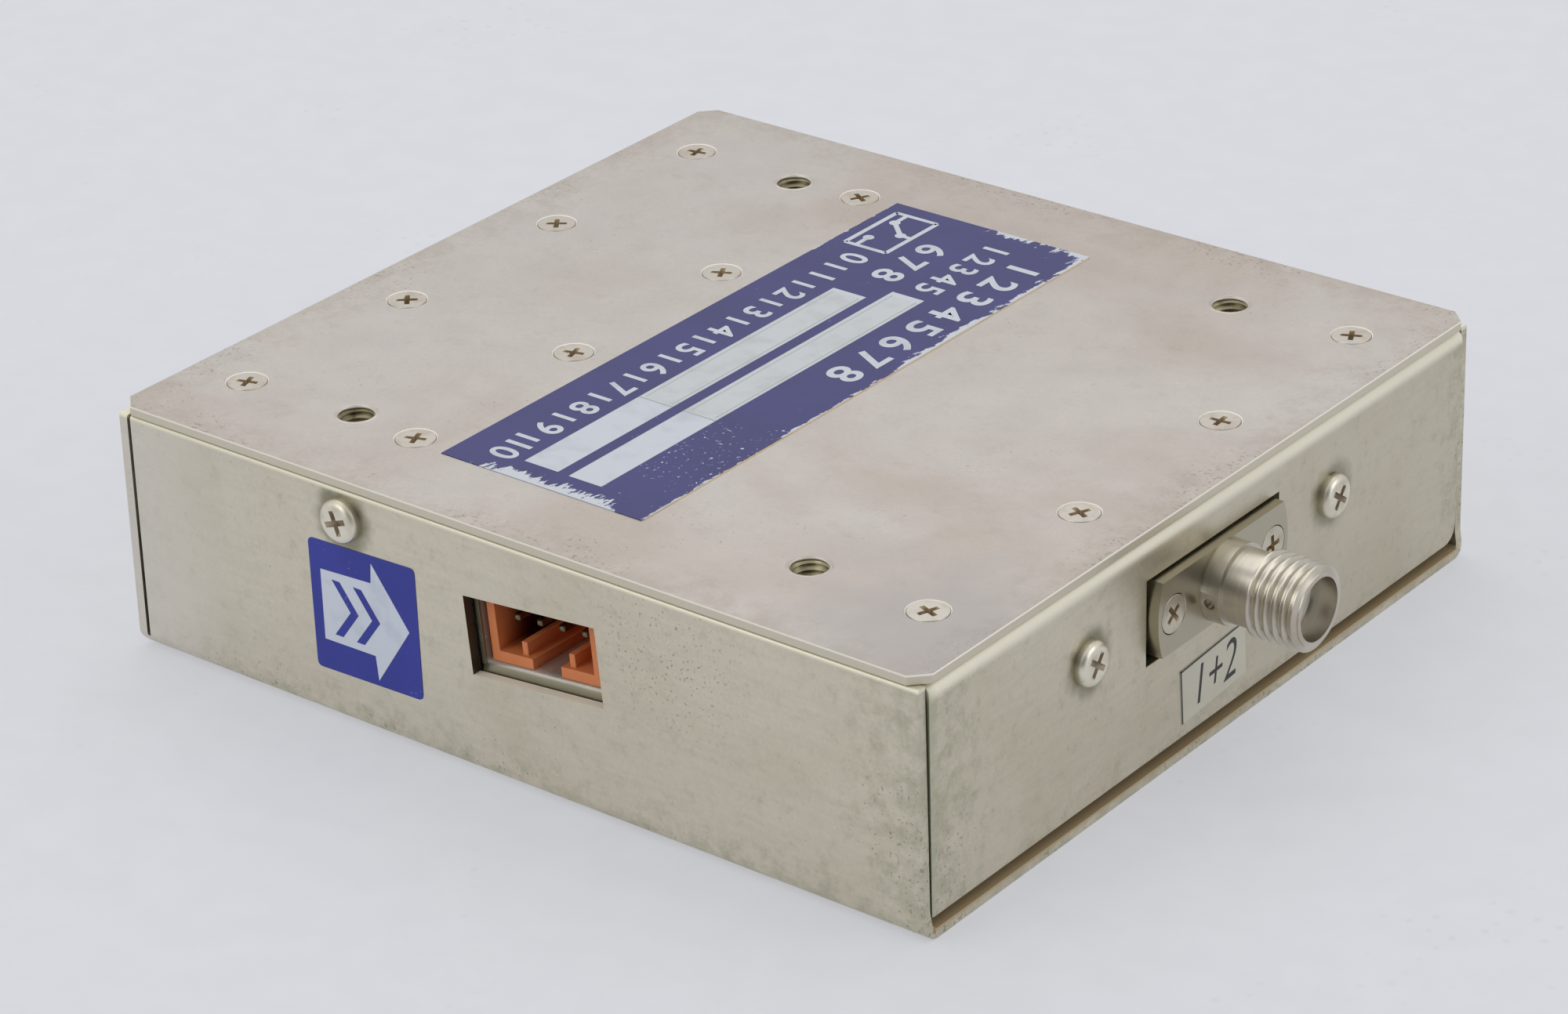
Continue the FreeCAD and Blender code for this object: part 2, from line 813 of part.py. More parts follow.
def connector_screws():
    screws = []
    for (side, y), turn in zip(flange_screw_places(), flange_screw_turns):
        screw = flat_screw(flange_head_radius, flat_head_height, thread_radius, flange_screw_length,
                           flat_cross, turn)
        screws.append(on_side(screw, side, y, port_axis_z, port_seat(side) + flange_thickness))
    return solids_of(screws)


def line(side, y):
    """Round centre conductor from a port's contact to its pad over the blades."""
    sign = 1 if side == "+X" else -1
    start = sign * line_reach(side)
    wire = rod(line_radius, start, y, port_axis_z, FreeCAD.Vector(-sign, 0, 0), abs(start - switch_x))
    pad = rod(pad_radius, switch_x, y, pad_bottom, Z_AXIS, pad_thickness)
    band = block(switch_x - pad_radius - margin, switch_x + pad_radius + margin, y - pad_radius - margin,
                 y + pad_radius + margin, pad_bottom, pad_bottom + pad_thickness)
    tip = wire.common(band)
    shank_length = abs(start - switch_x) - math.sqrt(pad_radius ** 2 - line_radius ** 2)
    shank = rod(line_radius, start, y, port_axis_z, FreeCAD.Vector(-sign, 0, 0), shank_length)
    return joined([shank, pad, tip])


def line_beads():
    """Square insulating beads that hold each line in the middle of its channel."""
    beads = []
    half = channel_width / 2 - bead_slack
    for side, y in port_places():
        sign = 1 if side == "+X" else -1
        near_switch = switch_x + sign * (channel_width / 2 + bead_setback)
        near_port = sign * (line_reach(side) - bead_setback)
        for x in (near_switch, near_port):
            bead = block(x - bead_length / 2, x + bead_length / 2, y - half, y + half,
                         channel_floor + bead_slack, channel_top - bead_slack)
            beads.append(bead.cut(rod(line_radius, x - margin, y, port_axis_z, X_AXIS, 2 * margin)))
    return solids_of(beads)


def rod_bushes():
    bushes = []
    for y in (-rod_y, rod_y):
        bush = rod(bush_radius, switch_x, y, block_bottom, Z_AXIS, cover_thickness)
        bore = rod(rod_radius + running_clearance, switch_x, y, block_bottom - margin, Z_AXIS,
                   cover_thickness + 2 * margin)
        bushes.append(bush.cut(bore))
    return solids_of(bushes)


# ---- moving blades: blade 1 (at +Y) is stored up on its pads, blade 2 down and open

def blade_lift(number):
    """Height of a blade's rod above its middle position."""
    return half_travel if number == 1 else -half_travel


def blade_y(number):
    return rod_y if number == 1 else -rod_y


def contact_blade(number):
    low = blade_closed - half_travel + blade_lift(number)
    side = 1 if number == 1 else -1
    inner = blade_gap / 2
    outer = port_y + blade_overlap
    blade = block(switch_x - blade_width / 2, switch_x + blade_width / 2, side * inner, side * outer,
                  low, low + blade_thickness)
    ends = edges_where(blade, lambda middle, box: near(box.XMin, box.XMax) and near(box.YMin, box.YMax))
    blade = blade.makeFillet(blade_corner, ends)
    hole = rod(rod_stud_radius, switch_x, blade_y(number), low - margin, Z_AXIS, 2 * margin)
    return blade.cut(hole)


def push_rod(number):
    """Insulating rod with a domed foot, a spring collar, and a headed stud through the blade."""
    lift = blade_lift(number)
    foot = pivot_z + cradle_top + rod_tip_gap + lift
    blade_low = blade_closed - half_travel + lift
    x = switch_x
    y = blade_y(number)
    stem = rod(rod_radius, x, y, foot, Z_AXIS, blade_low - foot)
    tip = edges_where(stem, lambda middle, box: near(box.ZMin, foot) and near(box.ZMax, foot))
    stem = stem.makeFillet(rod_tip_round, tip)
    collar = rod(collar_radius, x, y, foot + collar_rise, Z_AXIS, collar_height)
    stud = rod(rod_stud_radius, x, y, foot + collar_rise, Z_AXIS, blade_low + blade_thickness - foot)
    cap = rod(rod_radius, x, y, blade_low + blade_thickness, Z_AXIS, rod_cap_height)
    return joined([stem, collar, stud, cap])


def return_spring(number):
    """Small compression spring between the rod's collar and the cover's underside."""
    foot = pivot_z + cradle_top + rod_tip_gap + blade_lift(number)
    low = foot + collar_rise + collar_height + spring_wire
    high = block_bottom - spring_wire
    steps = int(spring_turns * spring_steps)
    points = []
    for step in range(steps + 1):
        angle = 2 * math.pi * step / spring_steps
        points.append(FreeCAD.Vector(spring_radius * math.cos(angle), spring_radius * math.sin(angle),
                                     low + (high - low) * step / steps))
    heading = (points[1] - points[0]).normalize()
    section = Part.Wire(Part.makeCircle(spring_wire, points[0], heading))
    wire = Part.makePolygon(points).makePipeShell([section], True, False, 1)
    return moved(wire, switch_x, blade_y(number), 0)


# ---- rocking armature

def rocked(shape):
    """Turns a piece of the armature so that its +Y end is up, as stored."""
    return turned(shape, FreeCAD.Vector(switch_x, 0, pivot_z), X_AXIS, rock_half_angle)


def armature_plate():
    top = pivot_z - armature_drop
    reach = coil_y + armature_overreach
    plate = block(switch_x - armature_half_width, switch_x + armature_half_width, -reach, reach,
                  top - armature_thickness, top)
    return rocked(plate)


def armature_cradle():
    """Moulded hub on the armature plate, bored for the pivot pin, with a flat that lifts the rods."""
    top = pivot_z - armature_drop
    beam = block(switch_x - cradle_half_width, switch_x + cradle_half_width, -cradle_half_length,
                 cradle_half_length, top, pivot_z + cradle_top)
    web = block(switch_x - hub_half_length, switch_x + hub_half_length, -hub_radius, hub_radius,
                top, pivot_z)
    hub = rod(hub_radius, switch_x - hub_half_length, 0, pivot_z, X_AXIS, 2 * hub_half_length)
    bore = rod(pin_radius + pin_clearance, switch_x - hub_half_length - margin, 0, pivot_z, X_AXIS,
               2 * (hub_half_length + margin))
    below = block(switch_x - hub_half_length - margin, switch_x + hub_half_length + margin,
                  -hub_radius - margin, hub_radius + margin, top - hub_radius - margin, top)
    return rocked(cut_all(joined([beam, web, hub]), [bore, below]))


def post_inner():
    """Distance from the drive's middle to the inside of each bearing post."""
    return hub_half_length + hub_end_gap


def pivot_pin():
    half = post_inner() + post_sheet + pin_overhang
    return rod(pin_radius, switch_x - half, 0, pivot_z, X_AXIS, 2 * half)


def pivot_bracket():
    """Folded bracket whose two posts hold the pivot pin."""
    inner = post_inner()
    outer = inner + post_sheet
    top = pivot_z + pin_radius + post_margin
    base = block(switch_x - outer, switch_x + outer, -post_half_width, post_half_width,
                 yoke_top, yoke_top + bracket_base)
    posts = [block(switch_x + side * inner, switch_x + side * outer, -post_half_width, post_half_width,
                   yoke_top, top) for side in (-1, 1)]
    bore = rod(pin_radius, switch_x - outer - margin, 0, pivot_z, X_AXIS, 2 * (outer + margin))
    return joined([base] + posts).cut(bore)


def yoke_screw_places():
    return [(switch_x + x, y) for x in (-yoke_screw_x, yoke_screw_x) for y in (-yoke_screw_y, yoke_screw_y)]


def yoke_plate():
    """Soft-iron plate that carries both cores and hangs from the block on four screws."""
    long_arm = block(switch_x - yoke_half_length, switch_x + yoke_half_length, -yoke_arm_half_width,
                     yoke_arm_half_width, yoke_bottom, yoke_top)
    wing = bobbin_radius + yoke_side_rim
    reach = coil_y + bobbin_radius + yoke_end_rim
    cross_arm = block(switch_x - wing, switch_x + wing, -reach, reach, yoke_bottom, yoke_top)
    plate = joined([long_arm, cross_arm])
    cuts = []
    for y in (-coil_y, coil_y):
        cuts.append(rod(core_spigot_radius, switch_x, y, yoke_bottom - margin, Z_AXIS,
                        yoke_thickness + 2 * margin))
    for x, y in yoke_screw_places():
        sink = countersink(flat_head_radius, flat_head_height, thread_radius, yoke_screw_length)
        cuts.append(moved(facing(sink, "-Z"), x, y, yoke_bottom))
    return cut_all(plate, cuts)


def yoke_spacers():
    spacers = []
    height = block_bottom - yoke_top
    for x, y in yoke_screw_places():
        tube = rod(spacer_radius, x, y, yoke_top, Z_AXIS, height)
        spacers.append(tube.cut(rod(thread_radius + hole_clearance, x, y, yoke_top - margin, Z_AXIS,
                                    height + 2 * margin)))
    return solids_of(spacers)


def yoke_screws():
    screws = []
    for x, y in yoke_screw_places():
        screw = flat_screw(flat_head_radius, flat_head_height, thread_radius, yoke_screw_length,
                           flat_cross, x)
        screws.append(moved(facing(screw, "-Z"), x, y, yoke_bottom))
    return solids_of(screws)


def coil_cores():
    """Iron cores, each riveted into the yoke by a spigot."""
    cores = []
    for y in (-coil_y, coil_y):
        core = rod(core_radius, switch_x, y, yoke_top, Z_AXIS, core_height)
        spigot = rod(core_spigot_radius, switch_x, y, yoke_bottom, Z_AXIS, yoke_thickness)
        cores.append(joined([core, spigot]))
    return solids_of(cores)


def coil_bobbins():
    """Moulded spools with a lug that holds the two coil terminals."""
    bobbins = []
    inner = core_radius + core_fit
    barrel = inner + bobbin_wall
    upper = bobbin_height - bobbin_flange
    for y in (-coil_y, coil_y):
        spool = spun([(0, inner), (0, bobbin_radius), (bobbin_flange, bobbin_radius), (bobbin_flange, barrel),
                      (upper, barrel), (upper, bobbin_radius), (bobbin_height, bobbin_radius),
                      (bobbin_height, inner)], "z")
        lug = block(bobbin_radius - lug_overlap, lug_reach, -lug_half_width, lug_half_width, upper,
                    bobbin_height)
        spool = joined([spool, lug])
        cuts = [rod(terminal_radius, x, step, -margin, Z_AXIS, bobbin_height + 2 * margin)
                for x, step in terminal_offsets()]
        bobbins.append(moved(cut_all(spool, cuts), switch_x, y, yoke_top))
    return solids_of(bobbins)


def terminal_offsets():
    near_x, far_x = [bobbin_radius + setout for setout in terminal_setout]
    return [(near_x, -terminal_half_pitch), (far_x, terminal_half_pitch)]


def terminal_top():
    return yoke_top + bobbin_height + terminal_above


def coil_terminals():
    pins = []
    length = terminal_below + terminal_above + bobbin_flange
    for y in (-coil_y, coil_y):
        for x, step in terminal_offsets():
            pins.append(rod(terminal_radius, switch_x + x, y + step, terminal_top() - length, Z_AXIS, length))
    return solids_of(pins)


def coil_windings():
    windings = []
    inner = core_radius + core_fit + bobbin_wall + winding_slack
    height = bobbin_height - 2 * bobbin_flange - 2 * winding_slack
    low = yoke_top + bobbin_flange + winding_slack
    for y in (-coil_y, coil_y):
        ring = rod(winding_radius, switch_x, y, low, Z_AXIS, height)
        windings.append(ring.cut(rod(inner, switch_x, y, low - margin, Z_AXIS, height + 2 * margin)))
    return solids_of(windings)


def bias_magnet():
    low = yoke_top + bracket_base
    return block(switch_x - magnet_half_length, switch_x + magnet_half_length, -magnet_half_width,
                 magnet_half_width, low, low + magnet_height)


# ---- control header group, made upright about its middle and then slanted

def header_low():
    return opening_z - header_seat


def header_housing():
    """Shrouded header: an open box with a key slot and two ribs in its floor."""
    half = header_width / 2
    low = header_low()
    high = low + header_height
    shell = block(opening_x - half, opening_x + half, header_front, header_rear, low, high)
    cavity_floor = low + header_floor
    back = header_rear - header_back
    cuts = [block(opening_x - half + header_wall, opening_x + half - header_wall, header_front - margin,
                  back, cavity_floor, high - header_wall),
            block(opening_x - key_slot_width / 2, opening_x + key_slot_width / 2, header_front - margin,
                  back, low - margin, cavity_floor + margin)]
    for x in pin_places():
        cuts.append(block(x - pin_side / 2, x + pin_side / 2, back - margin, header_rear + margin,
                          pin_low(), pin_low() + pin_side))
    shell = cut_all(shell, cuts)
    ribs = []
    for side in (-1, 1):
        start = opening_x + side * (key_slot_width / 2 + key_rib_offset)
        ribs.append(block(start, start + side * key_rib_thickness, header_front + key_rib_setback, back,
                          cavity_floor, cavity_floor + key_rib_height))
    shell = joined([shell] + ribs)
    front_edges = edges_where(shell, lambda middle, box: near(box.YMin, header_front)
                              and near(box.YMax, header_front)
                              and (near(abs(middle.x - opening_x), half) or near(middle.z, high)))
    return slanted(shell.makeFillet(header_edge_round, front_edges))


def pin_places():
    start = opening_x - (pin_count - 1) / 2 * pin_pitch
    return [start + index * pin_pitch for index in range(pin_count)]


def pin_low():
    return header_low() + pin_height - pin_side / 2


def header_pins():
    pins = []
    tip = header_front + pin_tip_setback
    for x in pin_places():
        pin = block(x - pin_side / 2, x + pin_side / 2, tip, board_rear + pin_tail,
                    pin_low(), pin_low() + pin_side)
        ends = edges_where(pin, lambda middle, box: near(box.YMin, tip) and near(box.YMax, tip))
        pins.append(slanted(pin.makeChamfer(pin_tip_chamfer, ends)))
    return solids_of(pins)


def control_board():
    half = board_width / 2
    low = header_low()
    board = block(opening_x - half, opening_x + half, header_rear, board_rear, low, low + board_height)
    cuts = [block(x - pin_side / 2, x + pin_side / 2, header_rear - margin, board_rear + margin,
                  pin_low(), pin_low() + pin_side) for x in pin_places()]
    for x in ear_places():
        cuts.append(rod(small_thread_radius + hole_clearance, x, header_rear - margin,
                        low + board_screw_rise, Y_AXIS, board_thickness + 2 * margin))
    return slanted(cut_all(board, cuts))


def ear_places():
    """Centres of the bracket's two ears, level with the board's ends."""
    reach = board_width / 2 - ear_width / 2
    return [opening_x - reach, opening_x + reach]


def header_bracket():
    """Folded bracket: a foot on the case floor, a front wall, a shelf under the header,
    two side cheeks and two ears behind the board."""
    top = header_low()
    half = bracket_half_width
    rear = board_rear + bracket_sheet
    shelf = block(opening_x - half, opening_x + half, bracket_front, rear, top - bracket_sheet, top)
    wing = block(opening_x - board_width / 2, opening_x + board_width / 2, header_rear, rear,
                 top - bracket_sheet, top)
    front = block(opening_x - half, opening_x + half, bracket_front, bracket_front + bracket_sheet,
                  -opening_z, top)
    angle = joined([shelf, front])
    bend = edges_where(angle, lambda middle, box: near(middle.y, bracket_front) and near(middle.z, top))
    angle = angle.makeFillet(bracket_bend + bracket_sheet, bend)
    cheeks = []
    for side in (-1, 1):
        cheeks.append(block(opening_x + side * half, opening_x + side * (half - bracket_sheet),
                            bracket_front, header_rear - cheek_rear_gap, top - bracket_sheet,
                            top + header_height - cheek_drop))
    ears = [block(x - ear_width / 2, x + ear_width / 2, board_rear, rear, top - bracket_sheet,
                  top + board_screw_rise + ear_over_screw) for x in ear_places()]
    holes = [rod(small_thread_radius, x, board_rear - margin, top + board_screw_rise, Y_AXIS,
                 bracket_sheet + 2 * margin) for x in ear_places()]
    upper = slanted(cut_all(joined([angle, wing] + cheeks + ears), holes))
    upper = upper.cut(block(-block_end, block_end, -tray_side, tray_side, -block_end, sheet))
    foot = block(opening_x - foot_half_width, opening_x + foot_half_width, bracket_front,
                 bracket_front + foot_length, sheet, sheet + bracket_sheet)
    return joined([upper, foot]).cut(tray_bend_corner())


def tray_bend_corner():
    """The tray's metal inside its bottom bend, which the bracket's heel has to clear."""
    wall = -inside_half_width
    corner = block(-block_end, block_end, wall - margin, wall + tray_bend, sheet - margin, sheet + tray_bend)
    return corner.cut(rod(tray_bend, -block_end, wall + tray_bend, sheet + tray_bend, X_AXIS, block_length))


def board_screws():
    screws = []
    for x, turn in zip(ear_places(), board_screw_turns):
        screw = pan_screw(board_head_radius, board_head_height, board_head_round, small_thread_radius,
                          board_screw_length, small_cross, turn)
        screw = moved(facing(screw, "-Y"), x, header_rear, header_low() + board_screw_rise)
        screws.append(slanted(screw))
    return solids_of(screws)


def board_diodes():
    """Two small diodes lying across the back of the board, one for each coil."""
    diodes = []
    y = board_rear + diode_radius + diode_standoff
    for rise in diode_rises:
        z = header_low() + rise
        half = diode_length / 2
        body = rod(diode_radius, opening_x - half, y, z, X_AXIS, diode_length)
        leads = []
        for side in (-1, 1):
            tip = opening_x + side * (half + diode_lead_reach)
            leads.append(block(opening_x + side * (half - diode_lead_radius), tip + side * diode_lead_radius,
                               y - diode_lead_radius, y + diode_lead_radius,
                               z - diode_lead_radius, z + diode_lead_radius))
            leads.append(block(tip - diode_lead_radius, tip + diode_lead_radius, board_rear,
                               y + diode_lead_radius, z - diode_lead_radius, z + diode_lead_radius))
        diodes.append(slanted(joined([body] + leads)))
    return solids_of(diodes)


def wire_route(points):
    """A round wire along straight runs joined by tangent arcs."""
    edges = []
    start = points[0]
    for index in range(1, len(points) - 1):
        corner = points[index]
        back = (start - corner).normalize()
        ahead = (points[index + 1] - corner).normalize()
        angle = back.getAngle(ahead)
        setback = wire_bend / math.tan(angle / 2)
        first = corner + back * setback
        last = corner + ahead * setback
        inward = (back + ahead).normalize()
        middle = corner + inward * (wire_bend / math.sin(angle / 2) - wire_bend)
        edges.append(Part.LineSegment(start, first).toShape())
        edges.append(Part.Arc(first, middle, last).toShape())
        start = last
    edges.append(Part.LineSegment(start, points[-1]).toShape())
    path = Part.Wire(edges)
    heading = (points[1] - points[0]).normalize()
    section = Part.Wire(Part.makeCircle(wire_radius, points[0], heading))
    return path.makePipeShell([section], True, False)


def lead_wires():
    """Four wires from the board's back: two to each coil, the far coil's pair running above."""
    wires = []
    ends = []
    for y, level in ((coil_y, wire_levels[0]), (-coil_y, wire_levels[1])):
        for x, step in terminal_offsets():
            ends.append((switch_x + x, y + step, level))
    order = [ends[2], ends[0], ends[1], ends[3]]
    for start_x, (x, y, level) in zip(wire_start_x, order):
        out_y = board_rear + wire_out
        corner_y = out_y + wire_turn_y
        points = [FreeCAD.Vector(start_x, board_rear, wire_start_z),
                  FreeCAD.Vector(start_x, out_y, wire_start_z),
                  FreeCAD.Vector(start_x, out_y + wire_drop_lean, level),
                  FreeCAD.Vector(x, corner_y, level),
                  FreeCAD.Vector(x, y, level),
                  FreeCAD.Vector(x, y, terminal_top())]
        wires.append(wire_route(points))
    return solids_of(wires)


# ---- stickers

def name_label():
    return block(name_label_x[0], name_label_x[1], name_label_y[0], name_label_y[1],
                 plate_top, plate_top + foil)


def arrow_label():
    half = arrow_label_width / 2
    high = arrow_label_height / 2
    label = block(arrow_label_x - half, arrow_label_x + half, -tray_side - foil, -tray_side,
                  arrow_label_z - high, arrow_label_z + high)
    centre = FreeCAD.Vector(arrow_label_x, 0, arrow_label_z)
    return turned(label, centre, Y_AXIS, -arrow_label_slant)


def port_label(side, y):
    half = port_label_width / 2
    high = port_label_height / 2
    z = port_axis_z - port_label_drop
    label = block(-half, half, -high, high, 0, foil)
    flat = turned(label, FreeCAD.Vector(0, 0, 0), Z_AXIS, 90)
    placed = on_side(flat, side, y + port_label_y, z, case_face(side))
    sign = 1 if side == "+X" else -1
    return turned(placed, FreeCAD.Vector(0, y + port_label_y, z), X_AXIS, sign * port_label_slant)


def outlet_labels():
    return solids_of([port_label("-X", port_y), port_label("-X", -port_y)])


# ---- the whole switch, one file for each piece

def all_pieces():
    pieces = {"case_tray": case_tray(), "com_end_panel": com_end_panel(), "top_plate": top_plate(),
              "plate_screws": plate_screws(), "case_screws": case_screws(), "rf_block": rf_block(),
              "rf_cover": rf_cover(), "rf_cover_screws": rf_cover_screws(),
              "com_connector": connector_body("+X", 0),
              "port_1_connector": connector_body("-X", port_y),
              "port_2_connector": connector_body("-X", -port_y),
              "connector_insulators": connector_insulators(), "connector_contacts": connector_contacts(),
              "connector_screws": connector_screws(), "com_line": line("+X", 0),
              "port_1_line": line("-X", port_y), "port_2_line": line("-X", -port_y),
              "line_beads": line_beads(), "rod_bushes": rod_bushes()}
    for number in (1, 2):
        pieces["contact_blade_%d" % number] = contact_blade(number)
        pieces["push_rod_%d" % number] = push_rod(number)
        pieces["return_spring_%d" % number] = return_spring(number)
    pieces.update({"armature_plate": armature_plate(), "armature_cradle": armature_cradle(),
                   "pivot_pin": pivot_pin(), "pivot_bracket": pivot_bracket(),
                   "yoke_plate": yoke_plate(), "yoke_spacers": yoke_spacers(), "yoke_screws": yoke_screws(),
                   "coil_cores": coil_cores(), "coil_bobbins": coil_bobbins(),
                   "coil_terminals": coil_terminals(), "coil_windings": coil_windings(),
                   "bias_magnet": bias_magnet(), "header_housing": header_housing(),
                   "header_pins": header_pins(), "header_bracket": header_bracket(),
                   "control_board": control_board(), "board_screws": board_screws(),
                   "board_diodes": board_diodes(), "lead_wires": lead_wires(),
                   "name_label": name_label(), "arrow_label": arrow_label(),
                   "com_label": port_label("+X", 0), "outlet_labels": outlet_labels()})
    return pieces


os.makedirs("parts", exist_ok=True)
for name, shape in all_pieces().items():
    if not shape.isValid():
        print("not valid:", name)
    shape.exportStep("parts/%s.step" % name)
    print(name, len(shape.Solids), round(shape.Volume, 3))
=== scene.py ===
import json
import math

import bmesh
import bpy
from mathutils import Matrix, Vector


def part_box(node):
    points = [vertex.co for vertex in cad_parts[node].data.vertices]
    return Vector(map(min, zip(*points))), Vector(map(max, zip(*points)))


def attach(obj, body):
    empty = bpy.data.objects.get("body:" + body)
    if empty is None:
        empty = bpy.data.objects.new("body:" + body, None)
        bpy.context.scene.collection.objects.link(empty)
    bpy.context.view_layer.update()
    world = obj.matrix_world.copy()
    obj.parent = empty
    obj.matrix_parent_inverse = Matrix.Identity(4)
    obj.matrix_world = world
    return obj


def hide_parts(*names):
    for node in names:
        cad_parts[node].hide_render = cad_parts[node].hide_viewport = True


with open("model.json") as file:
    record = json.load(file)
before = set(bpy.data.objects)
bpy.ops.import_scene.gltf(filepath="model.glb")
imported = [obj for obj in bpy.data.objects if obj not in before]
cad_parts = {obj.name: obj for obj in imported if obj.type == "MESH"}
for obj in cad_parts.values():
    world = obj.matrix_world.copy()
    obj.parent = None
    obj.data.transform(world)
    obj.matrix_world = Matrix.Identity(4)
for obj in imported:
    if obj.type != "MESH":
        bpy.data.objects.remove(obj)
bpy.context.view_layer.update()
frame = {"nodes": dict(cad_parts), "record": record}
nodes = frame["nodes"]


# ---- Studio -------------------------------------------------------------------------------
# A small metal part on a pale paper sweep, under a wide soft box and a weaker one at the side.
# The sweep is one flat sheet, because the view looks down on it all the way to its top edge. The
# room has a dark side behind the camera.

camera_data = bpy.data.cameras.new("studio_camera")
camera_data.sensor_width = 36.0
camera_data.lens = 110.97
camera_data.clip_start = 0.01
camera = bpy.data.objects.new("studio_camera", camera_data)
camera.location = (0.19330, -0.24465, 0.16552)
camera.rotation_euler = (math.radians(63.107), math.radians(1.456), math.radians(37.852))
bpy.context.scene.collection.objects.link(camera)
bpy.context.scene.camera = camera


def shader_node(tree, kind, inputs=None, **settings):
    """Adds a node; an input is given a value or is linked from a socket."""
    made = tree.nodes.new(kind)
    for name, value in settings.items():
        setattr(made, name, value)
    for name, value in (inputs or {}).items():
        if isinstance(value, bpy.types.NodeSocket):
            tree.links.new(value, made.inputs[name])
        else:
            made.inputs[name].default_value = value
    return made


def calc(tree, operation, a, b=0.0, c=0.0, clamp=False):
    """One Math node, and its result."""
    return shader_node(tree, "ShaderNodeMath", {0: a, 1: b, 2: c}, operation=operation,
                       use_clamp=clamp).outputs[0]


def stepped(tree, value, low, high):
    """0 below low, 1 above high, smooth between."""
    made = shader_node(tree, "ShaderNodeMapRange", {"Value": value, "From Min": low, "From Max": high},
                       interpolation_type="SMOOTHSTEP")
    return made.outputs["Result"]


def falling(tree, value, low, high):
    """1 below low, 0 above high, smooth between."""
    return calc(tree, "SUBTRACT", 1.0, stepped(tree, value, low, high))


def noise(tree, vector, scale, detail, **more):
    """A noise texture's value. Its other inputs go by their names."""
    return shader_node(tree, "ShaderNodeTexNoise",
                       {"Vector": vector, "Scale": scale, "Detail": detail, **more}).outputs["Fac"]


def blended(tree, amount, first, second):
    """Mixes two colours."""
    made = shader_node(tree, "ShaderNodeMix", {0: amount, 6: first, 7: second}, data_type="RGBA")
    return made.outputs[2]


def colour(red, green, blue):
    """A colour as it is written for a screen, from 0 to 255, made linear."""
    return tuple(pow((value / 255 + 0.055) / 1.055, 2.4) if value > 10 else value / 3295
                 for value in (red, green, blue)) + (1.0,)


def new_material(name, base, metallic=0.0, roughness=0.5):
    """A material with its Principled shader, tree and shader returned with it."""
    made = bpy.data.materials.new(name)
    made.use_nodes = True
    tree = made.node_tree
    shader = tree.nodes["Principled BSDF"]
    shader.inputs["Base Color"].default_value = base
    shader.inputs["Metallic"].default_value = metallic
    shader.inputs["Roughness"].default_value = roughness
    return made, tree, shader


def object_place(tree):
    """Where a point of the surface is, in metres from the part's origin."""
    return shader_node(tree, "ShaderNodeTexCoord").outputs["Object"]


def add_bump(tree, shader, height, depth, strength=1.0):
    """Small relief on a shader's normal."""
    bump = shader_node(tree, "ShaderNodeBump", {"Height": height, "Distance": depth, "Strength": strength})
    tree.links.new(bump.outputs["Normal"], shader.inputs["Normal"])


sweep_size = 3.0
sweep_mesh = bpy.data.meshes.new("paper_sweep")
sweep_shape = bmesh.new()
bmesh.ops.create_grid(sweep_shape, x_segments=1, y_segments=1, size=sweep_size)
sweep_shape.to_mesh(sweep_mesh)
sweep_shape.free()
sweep = bpy.data.objects.new("paper_sweep", sweep_mesh)
bpy.context.scene.collection.objects.link(sweep)
paper, tree, shader = new_material("sweep_paper", colour(218, 219, 224), roughness=0.9)
place = object_place(tree)
fibre = noise(tree, place, 260.0, 3.0)
shade = blended(tree, stepped(tree, fibre, 0.3, 0.7), colour(217, 218, 223),
                colour(219, 220, 225))
weave = shader_node(tree, "ShaderNodeTexVoronoi", {"Vector": place, "Scale": 600.0, "Randomness": 0.35})
faded = noise(tree, place, 45.0, 3.0)
dots = falling(tree, weave.outputs["Distance"], 0.08, 0.24)
dots = calc(tree, "MULTIPLY", dots, stepped(tree, faded, 0.5, 0.75))
shade = blended(tree, calc(tree, "MULTIPLY", dots, 0.5), shade, colour(204, 203, 202))
tree.links.new(shade, shader.inputs["Base Color"])
add_bump(tree, shader, fibre, 0.0001, 0.15)
ray = shader_node(tree, "ShaderNodeLightPath").outputs
seen = calc(tree, "MAXIMUM", calc(tree, "MAXIMUM", ray["Is Camera Ray"], ray["Is Glossy Ray"]),
            ray["Is Transmission Ray"])
glow = shader_node(tree, "ShaderNodeEmission", {"Color": shade, "Strength": 1.0})
lit = shader_node(tree, "ShaderNodeMixShader", {0: calc(tree, "MULTIPLY", seen, 0.55),
                                                1: shader.outputs["BSDF"], 2: glow.outputs["Emission"]})
tree.links.new(lit.outputs["Shader"], tree.nodes["Material Output"].inputs["Surface"])
sweep_mesh.materials.append(paper)


def soft_box(name, place, aim, width, power):
    """A square lamp that faces a point."""
    lamp = bpy.data.lights.new(name, "AREA")
    lamp.size = width
    lamp.energy = power
    made = bpy.data.objects.new(name, lamp)
    made.location = place
    made.rotation_euler = (Vector(aim) - Vector(place)).to_track_quat("-Z", "Y").to_euler()
    bpy.context.scene.collection.objects.link(made)


